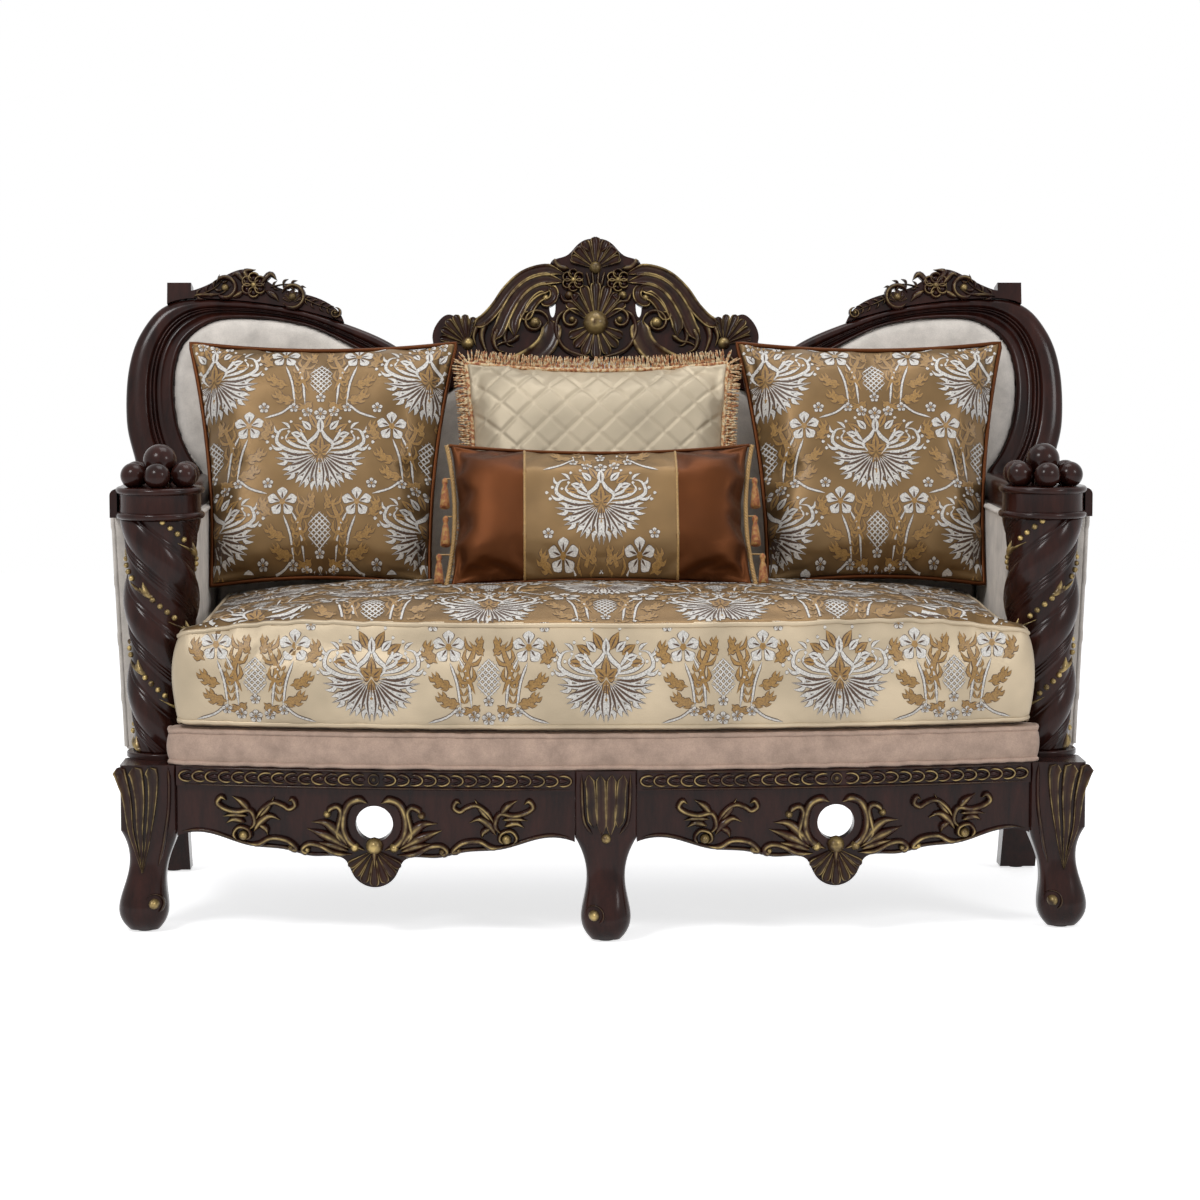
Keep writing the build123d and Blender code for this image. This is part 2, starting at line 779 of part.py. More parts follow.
# Wing frame: a moulded hoop from a volute at the arm, round the ear, and down to the crest.
# Points are set out from the widest place of the ear, its top and the arm.
wing_outer = [
    (wing_x - 38, arm_top),
    (wing_x - 20, arm_top + 74),
    (wing_x - 2, arm_top + 150),
    (wing_x - 4, wing_top - 140),
    (wing_x - 28, wing_top - 65),
    (wing_x - 80, wing_top - 10),
    (wing_x - 170, wing_top),
    (wing_x - 292, wing_top - 12),
    (wing_x - 386, wing_top - 33),
    (wing_x - 506, wing_top - 78),
    (crest_half, crest_foot + frame_top_width),
]
wing_inner = [
    (crest_half, crest_foot),
    (wing_x - 510, wing_top - 132),
    (wing_x - 391, wing_top - 67),
    (wing_x - 321, wing_top - 46),
    (wing_x - 244, wing_top - 38),
    (wing_x - 170, wing_top - 44),
    (wing_x - 113, wing_top - 88),
    (wing_x - 95, wing_top - 160),
    (wing_x - 103, arm_top + 147),
    (wing_x - 127, arm_top + 87),
    (block_inner + 2, arm_top + 48),
    (block_inner + 5, arm_top + 18),
    (block_inner + 30, arm_top),
]
with BuildPart() as wing:
    with BuildSketch(back_plane(-frame_rear)):
        with BuildLine():
            outer = Spline(*on_back(wing_outer))
            inner = Spline(*on_back(wing_inner))
            Line(outer @ 1, inner @ 0)
            Line(inner @ 1, outer @ 0)
        make_face()
    extrude(amount=frame_rear + frame_front)
save_pair(wing, "back_wing_frame")

# Moulded arm rest from the capital, which it fits round, to the back
rest_bottom = arm_top + gap
rest_rear = pad_front + pad_round + gap
rest_end = back_at(rest_bottom, rest_rear)
with BuildPart() as rest:
    with BuildSketch(Plane.XY.offset(rest_bottom)):
        with BuildLine():
            Polyline(
                (rest_inner, rest_front_y),
                (rest_outer, rest_front_y),
                (rest_outer, rest_end),
                (rest_inner, rest_end),
                close=True,
            )
        make_face()
        with Locations((column_x, column_y)):
            Circle(capital_radius + gap, mode=Mode.SUBTRACT)
    extrude(amount=rest_height)
    fillet(rest.edges().filter_by(Axis.Y).group_by(Axis.Z)[-1], rest_round)
save_pair(rest, "arm_rest")

# Square block on each post that carries the foot of the wing
with BuildPart() as block:
    with BuildSketch(back_plane(-stile_rear)):
        with BuildLine():
            Polyline(
                *on_back(
                    [
                        (block_inner, post_top),
                        (wing_x - block_inset, post_top),
                        (wing_x - block_inset, arm_top),
                        (block_inner, arm_top),
                    ]
                ),
                close=True,
            )
        make_face()
        offset(amount=-gap)
    extrude(amount=stile_rear - gap)
save_pair(block, "back_block")

# Square cap that ends the top moulding on the ear, and the leaf spray beside it
ear_x = wing_x - 80
cap_end = ear_x - ear_cap_width
carving_points = [
    (wing_x - 430, wing_top - 66),
    (wing_x - 386, wing_top - 50),
    (wing_x - 292, wing_top - 28),
    (wing_x - 170, wing_top - 22),
    (ear_x, wing_top - ear_cap_height),
    (ear_x, wing_top + ear_cap_height),
    (cap_end, wing_top + ear_cap_height),
    (cap_end, wing_top + ear_cap_height / 2),
]
leaf_points = [
    (cap_end, wing_top + ear_cap_height / 2),
    (wing_x - 190, wing_top + leaf_rise * 0.75),
    (wing_x - 232, wing_top + leaf_rise),
    (wing_x - 290, wing_top + leaf_rise * 0.45),
    (wing_x - 350, wing_top + leaf_rise * 0.15),
    (wing_x - 415, wing_top - 24),
    (wing_x - 430, wing_top - 66),
]
with BuildPart() as carving:
    with BuildSketch(back_plane(-frame_rear + carving_inset)):
        with BuildLine():
            Polyline(*on_back(carving_points))
            Spline(*on_back(leaf_points))
        make_face()
    extrude(amount=frame_rear + frame_front - 2 * carving_inset)
    add(wing.part, mode=Mode.SUBTRACT)
save_pair(carving, "wing_carving")

# Pierced crest between the wings
crest_end = crest_half - gap
fan = [(crest_end, crest_top - 201), (308, crest_top - 160), (290, crest_top - 148), (262, crest_top - 157)]
fan += [(236, crest_top - 154), (214, crest_top - 162)]
scroll = [(214, crest_top - 162), (200, crest_top - 142), (183, crest_top - 114), (163, crest_top - 85)]
scroll += [(132, crest_top - 67), (90, crest_top - 61)]
palmette = [(90, crest_top - 61), (84, crest_top - 42), (58, crest_top - 33), (38, crest_top - 14)]
palmette += [(0, crest_top)]
with BuildPart() as crest:
    with BuildSketch(back_plane(-crest_rear)):
        with BuildLine():
            for side in (1, -1):
                Line((side * crest_end, slope(crest_foot)), (side * crest_end, slope(crest_top - 201)))
                for run in (fan, scroll, palmette):
                    Spline(*on_back([(side * x, z) for x, z in run]))
            ThreePointArc(
                (-crest_end, slope(crest_foot)), (0, slope(crest_arch)), (crest_end, slope(crest_foot))
            )
        make_face()
        with Locations(*on_back([(85, crest_top - 129), (-85, crest_top - 129)])):
            Ellipse(pierce_slot / 4, pierce_slot, mode=Mode.SUBTRACT)
        with Locations(*on_back([(160, crest_top - 165), (-160, crest_top - 165)])):
            Circle(pierce_slot / 4, mode=Mode.SUBTRACT)
    extrude(amount=crest_rear + crest_front)
save(crest, "back_crest")

# Velvet panels inside the back, cut to the show-wood
pad_foot = rail_top + pad_foot_lift
frame_middle = [
    (wing_x - 60, arm_top + 100),
    (wing_x - 50, arm_top + 170),
    (wing_x - 52, wing_top - 140),
    (wing_x - 95, wing_top - 50),
    (wing_x - 170, wing_top - 22),
    (wing_x - 292, wing_top - 28),
    (wing_x - 386, wing_top - 50),
    (wing_x - 506, wing_top - 100),
    (crest_half, crest_foot + frame_top_width / 2),
]
side_panel = [
    (seam_x + gap, pad_foot),
    (pad_side, pad_foot),
    (pad_side, arm_top + pad_foot_lift),
    (wing_x - 80, arm_top + pad_foot_lift),
    *frame_middle,
    (seam_x + gap, crest_arch),
]
with BuildPart() as side_pad:
    with BuildSketch(back_plane(-pad_rear)):
        with BuildLine():
            Polyline(*on_back(side_panel), close=True)
        make_face()
    extrude(amount=pad_rear + pad_face)
    add(wing.part, mode=Mode.SUBTRACT)
    add(crest.part, mode=Mode.SUBTRACT)
save_pair(side_pad, "inside_back")

centre_panel = [(seam_x, pad_foot), (seam_x, crest_arch), (-seam_x, crest_arch), (-seam_x, pad_foot)]
with BuildPart() as centre_pad:
    with BuildSketch(back_plane(-pad_rear)):
        with BuildLine():
            Polyline(*on_back(centre_panel), close=True)
        make_face()
    extrude(amount=pad_rear + pad_face)
    add(crest.part, mode=Mode.SUBTRACT)
    seams = centre_pad.faces().sort_by(Axis.Y)[0].edges().sort_by(Axis.X)
    fillet([seams[0], seams[-1]], pad_round / 2)
save(centre_pad, "inside_back_centre")

# Stiles and ties that stiffen the back behind the panels
with BuildPart() as stile:
    with BuildSketch(back_plane(-stile_rear)):
        with BuildLine():
            Polyline(
                *on_back(
                    [
                        (stile_x - stile_width / 2, pad_foot + pad_foot_lift),
                        (stile_x + stile_width / 2, pad_foot + pad_foot_lift),
                        (stile_x + stile_width / 2, crest_foot + frame_top_width / 2),
                        (stile_x - stile_width / 2, crest_foot + frame_top_width / 2),
                    ]
                ),
                close=True,
            )
        make_face()
    extrude(amount=stile_rear - stile_front)
    add(wing.part, mode=Mode.SUBTRACT)
    add(crest.part, mode=Mode.SUBTRACT)
save_pair(stile, "back_stile")

tie_inner = stile_x - stile_width / 2 - gap
tie_outer = stile_x + stile_width / 2 + gap
tie_spans = [(-tie_inner, tie_inner), (tie_outer, post_inner - gap), (gap - post_inner, -tie_outer)]
with BuildPart() as ties:
    with BuildSketch(back_plane(-stile_rear)):
        for start, end in tie_spans:
            with Locations(((start + end) / 2, slope(tie_z))):
                Rectangle(end - start, tie_height)
    extrude(amount=stile_rear - stile_front)
save(ties, "back_tie_rails")

outside_edge = [
    (post_inner - 2 * gap, outside_back_foot),
    (post_inner - 2 * gap, post_top + pad_foot_lift),
    (wing_x - 62, post_top + pad_foot_lift),
    *frame_middle,
    (0, crest_arch + frame_top_width / 4),
]
with BuildPart() as outside_back:
    with BuildSketch(back_plane(-frame_rear - gap)):
        with BuildLine():
            half = on_back(outside_edge)
            Polyline(*half, *[(-x, height) for x, height in reversed(half[:-1])], close=True)
        make_face()
    extrude(amount=-outside_back_thickness)
save(outside_back, "outside_back")


def arc_top(offset, half_span, rise):
    """Height of the crowned cushion at an offset from the middle of an arc of that span and rise."""
    radius = (half_span**2 + rise**2) / (2 * rise)
    return cushion_top - radius + math.sqrt(radius**2 - offset**2)


def cushion_surface(x, y):
    """Height of the seat cushion's crown at x, y."""
    middle = (cushion_front + cushion_back) / 2
    along_top = arc_top(y - middle, cushion_back - middle, cushion_crown)
    across_top = arc_top(x, cushion_half, cushion_front_rise + cushion_crown / 2)
    return min(along_top, across_top)


def pillow_plane(x, y, foot_x, lean, height):
    """Middle plane of a pillow whose sewn foot rests on the seat at depth y, facing the sitter."""
    turn = math.radians(lean)
    rim = rim_thickness / 2
    foot = cushion_surface(foot_x, y + rim * math.cos(turn)) + rim * math.sin(turn) + gap
    rise = height / 2
    origin = (x, y + rise * math.sin(turn), foot + rise * math.cos(turn))
    return Plane(origin=origin, x_dir=(1, 0, 0), z_dir=(0, -math.cos(turn), math.sin(turn)))


def pillow_outline(width, height, inset, tuck):
    """Four-sided pillow outline moved in by inset: drawn-in sides at the rim, rounder towards the crown."""
    top = width / 2 - inset
    foot = top - tuck
    rise = height / 2 - inset
    swell = crown_swell * inset - draw_in
    side = (top + foot) / 2 + swell
    ThreePointArc((-top, rise), (0, rise + swell), (top, rise))
    ThreePointArc((top, rise), (side, 0), (foot, -rise))
    ThreePointArc((foot, -rise), (0, -rise - swell), (-foot, -rise))
    ThreePointArc((-foot, -rise), (-side, 0), (-top, rise))


# Each step of a pillow's crown: share of half its thickness, and share of its half height moved in
crown_steps = [(0.27, 0.04), (0.5, 0.12), (0.72, 0.25), (0.9, 0.42), (1.0, 0.6)]

brocade_foot = brocade_x - brocade_width / 2 + brocade_tuck
brocade_plane = pillow_plane(brocade_x, brocade_y, brocade_foot, brocade_lean, brocade_height)
brocade_stack = [(share * brocade_thickness / 2, inset * brocade_height / 2) for share, inset in crown_steps]
brocade_stack = [(-level, inset) for level, inset in reversed(brocade_stack)] + [
    (-rim_thickness / 2, 0.0),
    (rim_thickness / 2, 0.0),
    *brocade_stack,
]
with BuildPart() as brocade:
    for level, inset in brocade_stack:
        with BuildSketch(brocade_plane.offset(level)):
            with BuildLine():
                pillow_outline(brocade_width, brocade_height, inset, brocade_tuck)
            make_face()
    loft(ruled=True)
save_pair(brocade, "brocade_pillow")

quilted_plane = pillow_plane(0, quilted_y, quilted_width / 2, quilted_lean, quilted_height)
quilted_stack = [(share * quilted_thickness / 2, inset * quilted_height / 2) for share, inset in crown_steps]
quilted_stack = [(-level, inset) for level, inset in reversed(quilted_stack)] + [
    (-rim_thickness / 2, 0.0),
    (rim_thickness / 2, 0.0),
    *quilted_stack,
]
with BuildPart() as quilted:
    for level, inset in quilted_stack:
        with BuildSketch(quilted_plane.offset(level)):
            with BuildLine():
                pillow_outline(quilted_width, quilted_height, inset, 0)
            make_face()
    loft(ruled=True)
save(quilted, "quilted_pillow")

# Fringe sewn round three edges of the quilted pillow; its foot is tucked under
fringe_foot = fringe_reach - quilted_height / 2
with BuildPart() as fringe:
    with BuildSketch(quilted_plane.offset(-fringe_thickness / 2)):
        with BuildLine():
            pillow_outline(quilted_width, quilted_height, -fringe_reach, 0)
        make_face()
        with BuildLine():
            pillow_outline(quilted_width, quilted_height, -gap, 0)
        make_face(mode=Mode.SUBTRACT)
        with Locations((0, fringe_foot)):
            Rectangle(
                2 * quilted_width,
                quilted_height,
                align=(Align.CENTER, Align.MAX),
                mode=Mode.SUBTRACT,
            )
    extrude(amount=fringe_thickness)
save(fringe, "quilted_pillow_fringe")

lumbar_plane = pillow_plane(0, lumbar_y, lumbar_width / 2, lumbar_lean, lumbar_height)
lumbar_stack = [(share * lumbar_thickness / 2, inset * lumbar_height / 2) for share, inset in crown_steps]
lumbar_stack = [(-level, inset) for level, inset in reversed(lumbar_stack)] + [
    (-rim_thickness / 2, 0.0),
    (rim_thickness / 2, 0.0),
    *lumbar_stack,
]
with BuildPart() as lumbar:
    for level, inset in lumbar_stack:
        with BuildSketch(lumbar_plane.offset(level)):
            with BuildLine():
                pillow_outline(lumbar_width, lumbar_height, inset, 0)
            make_face()
    loft(ruled=True)
save(lumbar, "lumbar_pillow")

# Braid down both ends of the lumbar pillow
braid_x = lumbar_width / 2 + braid_radius + gap
braid_rise = lumbar_height / 2
with BuildPart() as braids:
    with BuildLine(lumbar_plane):
        braid = ThreePointArc((braid_x, -braid_rise), (braid_x - draw_in, 0), (braid_x, braid_rise))
    with BuildSketch(Plane(origin=braid @ 0, z_dir=braid % 0)):
        Circle(braid_radius)
    sweep()
    mirror(about=Plane.YZ)
save(braids, "lumbar_braids")



def braid_at(y):
    """Distance of the braid from the pillow's middle at height y of its plane."""
    return braid_x - draw_in * (1 - (y / braid_rise) ** 2)


# Tassels that hang from the braid by a short cord, each a round head over a flaring skirt
tassel_tops = [(step - 1) * tassel_pitch for step in range(tassel_count)]
with BuildPart() as tassels:
    for y in tassel_tops:
        foot = y - tassel_length
        x = max(braid_at(y), braid_at(foot)) + braid_radius + tassel_radius + 2 * gap
        with BuildSketch(lumbar_plane):
            with BuildLine():
                Polyline(
                    (x, y),
                    (x, foot),
                    (x + tassel_radius, foot),
                    (x + tassel_radius / 2, y - tassel_radius),
                    (x + tassel_radius / 2, y),
                    close=True,
                )
            make_face()
        revolve(axis=Axis(lumbar_plane.from_local_coords((x, y, 0)), lumbar_plane.y_dir))
        cord = braid_at(y) + braid_radius + 2 * gap
        with BuildSketch(lumbar_plane.offset(-cord_width / 2)):
            with Locations(((cord + x) / 2, y - cord_width / 2)):
                Rectangle(x - cord, cord_width)
        extrude(amount=cord_width)
    mirror(about=Plane.YZ)
save(tassels, "lumbar_tassels")
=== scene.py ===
"""Dresses a carved loveseat: dark show-wood with gilded relief, velvet, brocade and loose pillows.

Metres, in the frame of the solid model: seen from the front, +X points right, +Y to the back, +Z up.
"""

import json
import math

import bmesh
import bpy
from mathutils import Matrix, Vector, noise
from mathutils.bvhtree import BVHTree
from mathutils.kdtree import KDTree


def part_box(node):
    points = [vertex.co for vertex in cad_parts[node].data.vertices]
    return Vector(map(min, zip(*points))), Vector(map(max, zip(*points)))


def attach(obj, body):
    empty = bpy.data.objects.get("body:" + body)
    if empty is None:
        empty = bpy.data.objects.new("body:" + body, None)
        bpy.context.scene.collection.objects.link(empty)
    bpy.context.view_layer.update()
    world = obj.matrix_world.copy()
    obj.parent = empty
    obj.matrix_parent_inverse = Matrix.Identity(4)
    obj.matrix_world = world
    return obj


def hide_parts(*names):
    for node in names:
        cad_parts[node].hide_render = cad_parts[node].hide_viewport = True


bl_info = {
    "name": "Carved loveseat",
    "version": (1, 0, 0),
    "blender": (4, 5, 0),
    "location": "3D View > Sidebar > Loveseat",
    "description": "Builds the finishes, carving, upholstery and pillows of a carved loveseat",
    "category": "Add Mesh",
}

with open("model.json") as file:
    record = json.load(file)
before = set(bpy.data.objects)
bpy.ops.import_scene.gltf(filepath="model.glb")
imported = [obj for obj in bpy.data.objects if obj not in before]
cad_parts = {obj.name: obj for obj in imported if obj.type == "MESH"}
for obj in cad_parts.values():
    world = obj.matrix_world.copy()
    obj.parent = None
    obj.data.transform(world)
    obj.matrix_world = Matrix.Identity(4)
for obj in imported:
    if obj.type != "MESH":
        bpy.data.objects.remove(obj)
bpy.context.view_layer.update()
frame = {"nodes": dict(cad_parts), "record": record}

MM = 0.001
FRAME_BODY = "frame"
SIDES = ((1, "right"), (-1, "left"))
STILL = Vector((0, 0, 0))
BACK_LEAN = math.radians(12.0)
# Directions of the leaning back, up along it and forward out of it, and where its plane meets the floor
BACK_UP = Vector((0, math.sin(BACK_LEAN), math.cos(BACK_LEAN)))
BACK_FORWARD = Vector((0, -math.cos(BACK_LEAN), math.sin(BACK_LEAN)))
BACK_FOOT = Vector((0, 268.6 * MM - 560 * MM * math.tan(BACK_LEAN), 0))


def size_setting(name, description, default):
    """A size setting in metres."""
    return bpy.props.FloatProperty(name=name, description=description, default=default, subtype="DISTANCE")


def colour_setting(name, description, default):
    """A colour setting, as linear values."""
    return bpy.props.FloatVectorProperty(name=name, description=description, default=default, subtype="COLOR")


class LoveseatSizes(bpy.types.PropertyGroup):
    """Sizes of the dressing that the solid model does not hold."""

    welt: size_setting("Welt radius", "Radius of piping and welts", 4.5 * MM)
    figure: size_setting("Brocade figure", "Height of one woven figure", 160 * MM)
    repeat_across: size_setting("Repeat across", "Width of one cell of the brocade", 206 * MM)
    repeat_up: size_setting("Repeat up", "Height of one cell of the brocade", 150 * MM)
    quilt: size_setting("Quilting pitch", "Distance between quilting lines", 62 * MM)
    fringe: size_setting("Fringe length", "Length of a fringe strand", 28 * MM)


class LoveseatColours(bpy.types.PropertyGroup):
    """Main colours of the finishes."""

    wood_dark: colour_setting("Dark wood", "Darkest grain", (0.010, 0.003, 0.0023))
    wood_light: colour_setting("Light wood", "Lightest grain", (0.042, 0.0115, 0.0078))
    gilt: colour_setting("Gilding", "Antique gold on the carving", (0.52, 0.38, 0.15))
    velvet: colour_setting("Velvet", "Back and arms", (0.69, 0.635, 0.572))
    chenille: colour_setting("Chenille", "Seat platform", (0.50, 0.355, 0.275))
    brocade: colour_setting("Brocade ground", "Satin ground of cushion and pillows", (0.215, 0.131, 0.056))
    silver: colour_setting("Silver thread", "Woven flowers", (0.70, 0.67, 0.62))
    rust: colour_setting("Rust satin", "Piping and pillow ends", (0.088, 0.027, 0.0075))
    champagne: colour_setting("Champagne satin", "Quilted pillow", (0.50, 0.42, 0.30))


def sizes():
    """The size settings of this scene."""
    return bpy.context.scene.loveseat_sizes


def colours():
    """The colour settings of this scene."""
    return bpy.context.scene.loveseat_colours


# Materials


class Finish:
    """A new material with short calls for the nodes that the finishes share."""

    def __init__(self, name):
        self.material = bpy.data.materials.new(name)
        self.material.use_nodes = True
        self.tree = self.material.node_tree
        self.shader = self.tree.nodes["Principled BSDF"]

    def node(self, kind, **settings):
        """Adds a node; settings are its properties."""
        made = self.tree.nodes.new(kind)
        for key, value in settings.items():
            setattr(made, key, value)
        return made

    def link(self, source, target):
        """Joins an output to an input."""
        self.tree.links.new(source, target)

    def set(self, **values):
        """Sets plain shader inputs, with _ for spaces."""
        for key, value in values.items():
            self.shader.inputs[key.replace("_", " ")].default_value = value

    def place(self, scale=(1, 1, 1)):
        """Object coordinates, scaled."""
        coordinates = self.node("ShaderNodeTexCoord")
        mapping = self.node("ShaderNodeMapping")
        mapping.inputs["Scale"].default_value = scale
        self.link(coordinates.outputs["Object"], mapping.inputs["Vector"])
        return mapping.outputs["Vector"]

    def noise(self, vector, scale, detail=3.0, rough=0.55):
        """Noise value at that scale."""
        made = self.node("ShaderNodeTexNoise")
        made.inputs["Scale"].default_value = scale
        made.inputs["Detail"].default_value = detail
        made.inputs["Roughness"].default_value = rough
        self.link(vector, made.inputs["Vector"])
        return made.outputs["Fac"]

    def ramp(self, value, stops):
        """Colour ramp through (position, colour) stops."""
        made = self.node("ShaderNodeValToRGB")
        elements = made.color_ramp.elements
        while len(elements) < len(stops):
            elements.new(0.5)
        for element, (position, colour) in zip(elements, stops):
            element.position = position
            element.color = (*colour, 1)
        self.link(value, made.inputs["Fac"])
        return made.outputs["Color"]

    def mix(self, factor, ground, colour):
        """A plain colour mixed over a ground."""
        made = self.node("ShaderNodeMix", data_type="RGBA")
        self.link(factor, made.inputs[0])
        self.link(ground, made.inputs[6])
        made.inputs[7].default_value = (*colour, 1)
        return made.outputs[2]

    def shade(self, share, tone, dark):
        """A tone multiplied by a darker pattern, by a share."""
        made = self.node("ShaderNodeMix", data_type="RGBA", blend_type="MULTIPLY")
        made.inputs[0].default_value = share
        self.link(tone, made.inputs[6])
        self.link(dark, made.inputs[7])
        return made.outputs[2]

    def maths(self, operation, first, second):
        """One Math node; first is a socket, second a socket or a number."""
        made = self.node("ShaderNodeMath", operation=operation)
        self.link(first, made.inputs[0])
        if hasattr(second, "is_linked"):
            self.link(second, made.inputs[1])
        else:
            made.inputs[1].default_value = second
        return made.outputs[0]

    def attribute(self, name):
        """A value stored on the mesh, 0 where it is missing."""
        made = self.node("ShaderNodeAttribute", attribute_name=name)
        return made.outputs["Fac"]

    def colour(self, socket):
        """Feeds the base colour."""
        self.link(socket, self.shader.inputs["Base Color"])

    def bump(self, height, strength, distance):
        """Feeds the normal from a height."""
        made = self.node("ShaderNodeBump")
        made.inputs["Strength"].default_value = strength
        made.inputs["Distance"].default_value = distance
        self.link(height, made.inputs["Height"])
        self.link(made.outputs["Normal"], self.shader.inputs["Normal"])


def scaled(colour, factor):
    """A colour made lighter or darker."""
    return tuple(min(1.0, channel * factor) for channel in colour)


def show_wood():
    """Very dark mahogany under gloss lacquer, with worn gold where the mesh says gilt."""
    look = colours()
    finish = Finish("show_wood_lacquer")
    grain_place = finish.place(scale=(1.0, 1.0, 0.22))
    grain = finish.noise(grain_place, 34.0, detail=6.0, rough=0.65)
    wood = finish.ramp(grain, [(0.32, look.wood_dark), (0.72, look.wood_light)])
    wear = finish.noise(finish.place(), 42.0, detail=4.0)
    worn = finish.ramp(wear, [(0.36, (0.08, 0.08, 0.08)), (0.62, (1, 1, 1))])
    gilt = finish.maths("MULTIPLY", finish.attribute("gilt"), worn)
    finish.colour(finish.mix(gilt, wood, look.gilt))
    finish.link(finish.maths("MULTIPLY", gilt, 0.85), finish.shader.inputs["Metallic"])
    rough = finish.maths("MULTIPLY_ADD", gilt, 0.16)
    rough.node.inputs[2].default_value = 0.24
    finish.link(rough, finish.shader.inputs["Roughness"])
    finish.set(Specular_IOR_Level=0.12, Coat_Weight=0.16, Coat_Roughness=0.13)
    finish.bump(grain, 0.06, 0.0006)
    return finish.material


def velvet_cloth(name, colour, crush, pile):
    """Pile fabric with crushed light and dark patches and a soft sheen at the edges."""
    finish = Finish(name)
    place = finish.place()
    patches = finish.noise(place, crush, detail=5.0, rough=0.62)
    tone = finish.ramp(patches, [(0.30, scaled(colour, 0.78)), (0.50, colour), (0.72, scaled(colour, 1.22))])
    fibre = finish.noise(place, pile, detail=2.0)
    fleck = finish.ramp(fibre, [(0.30, (0.72, 0.72, 0.72)), (0.70, (1, 1, 1))])
    finish.colour(finish.shade(0.55, tone, fleck))
    finish.set(Roughness=0.86, Sheen_Weight=0.22, Sheen_Roughness=0.45)
    finish.bump(fibre, 0.35, 0.0009)
    return finish.material


def satin_cloth(name, colour, gloss, silk, uneven=0.16):
    """Woven satin: fine threads, slow changes of tone that are partly painted sheen; silk is the share of
    gloss in its own colour.
    """
    finish = Finish(name)
    place = finish.place()
    threads = finish.node("ShaderNodeTexWave", wave_type="BANDS", bands_direction="DIAGONAL")
    threads.inputs["Scale"].default_value = 420.0
    threads.inputs["Distortion"].default_value = 0.6
    finish.link(place, threads.inputs["Vector"])
    # Slow drift of tone: partly random tone of the cloth, partly painted sheen (broad lighter and darker
    # patches); uneven sets its strength
    drift_and_painted_sheen = finish.noise(place, 7.0, detail=3.0)
    tone = finish.ramp(drift_and_painted_sheen, [(0.30, scaled(colour, 1 - uneven)), (0.70, scaled(colour, 1 + uneven))])
    fine = finish.ramp(threads.outputs["Fac"], [(0.0, (0.80, 0.80, 0.80)), (1.0, (1, 1, 1))])
    finish.colour(finish.shade(0.6, tone, fine))
    finish.set(Roughness=gloss, Metallic=silk, Specular_IOR_Level=0.25)
    finish.set(Sheen_Weight=0.04, Sheen_Roughness=0.35)
    finish.bump(threads.outputs["Fac"], 0.18, 0.0004)
    return finish.material


def thread(name, colour, gloss=0.5):
    """Raised figure yarn with short lengthwise streaks."""
    finish = Finish(name)
    streaks = finish.noise(finish.place(), 330.0, detail=2.0)
    finish.colour(finish.ramp(streaks, [(0.30, scaled(colour, 0.62)), (0.62, scaled(colour, 1.08))]))
    finish.set(Roughness=gloss, Sheen_Weight=0.15)
    finish.bump(streaks, 0.4, 0.0005)
    return finish.material


def mixed_yarn(name, stops):
    """Yarns of several colours side by side."""
    finish = Finish(name)
    strands = finish.noise(finish.place(), 150.0, detail=3.0)
    finish.colour(finish.ramp(strands, stops))
    finish.set(Roughness=0.66, Sheen_Weight=0.12)
    finish.bump(finish.noise(finish.place(), 420.0), 0.4, 0.0006)
    return finish.material


def plain_finish(name, colour, rough, metal=0.0, grain=60.0):
    """Quiet finish for hidden pieces: a little grain in colour and bump."""
    finish = Finish(name)
    fibre = finish.noise(finish.place(scale=(0.25, 1.0, 1.0)), grain, detail=4.0)
    finish.colour(finish.ramp(fibre, [(0.30, scaled(colour, 0.75)), (0.70, scaled(colour, 1.15))]))
    finish.set(Roughness=rough, Metallic=metal)
    finish.bump(fibre, 0.12, 0.0005)
    return finish.material


finishes = {}
# Yarns of the fringe and the tassels, from dark to light
FRINGE_YARNS = [(0.36, (0.24, 0.06, 0.02)), (0.47, (0.48, 0.23, 0.08)), (0.56, (0.64, 0.50, 0.30))]
TASSEL_YARNS = [(0.36, (0.22, 0.045, 0.012)), (0.50, (0.36, 0.13, 0.03)), (0.62, (0.45, 0.26, 0.08))]


def make_finishes():
    """Makes every material once."""
    look = colours()
    finishes.update(
        show_wood=show_wood(),
        velvet=velvet_cloth("crushed_velvet", look.velvet, crush=17.0, pile=620.0),
        chenille=velvet_cloth("rosy_chenille", look.chenille, crush=26.0, pile=420.0),
        # uneven sets a satin's slow tone drift, which is partly painted sheen
        brocade=satin_cloth("bronze_satin_ground", look.brocade, gloss=0.38, silk=0.45, uneven=0.25),
        boxing=satin_cloth("champagne_boxing", (0.58, 0.47, 0.325), gloss=0.42, silk=0.3, uneven=0.2),
        champagne_satin=satin_cloth("champagne_satin", look.champagne, gloss=0.44, silk=0.2),
        rust_satin=satin_cloth("rust_satin", look.rust, gloss=0.40, silk=0.8),
        silver=thread("silver_thread", look.silver),
        outline=thread("brown_thread", (0.082, 0.040, 0.020)),
        gold=thread("gold_thread", (0.36, 0.20, 0.055), gloss=0.42),
        fringe=mixed_yarn("fringe_yarn", FRINGE_YARNS),
        gold_braid=thread("gold_braid_yarn", (0.42, 0.25, 0.08), gloss=0.45),
        tassel=mixed_yarn("tassel_yarn", TASSEL_YARNS),
        inner_wood=plain_finish("stained_hardwood", (0.085, 0.040, 0.024), 0.5, grain=26.0),
        steel=plain_finish("spring_steel", (0.42, 0.42, 0.43), 0.35, metal=1.0, grain=200.0),
        clip_plastic=plain_finish("black_nylon", (0.018, 0.018, 0.018), 0.55, grain=300.0),
        deck_fabric=plain_finish("black_cambric", (0.02, 0.02, 0.021), 0.9, grain=500.0),
        felt=plain_finish("grey_felt", (0.55, 0.53, 0.48), 0.95, grain=240.0),
    )


# Meshes


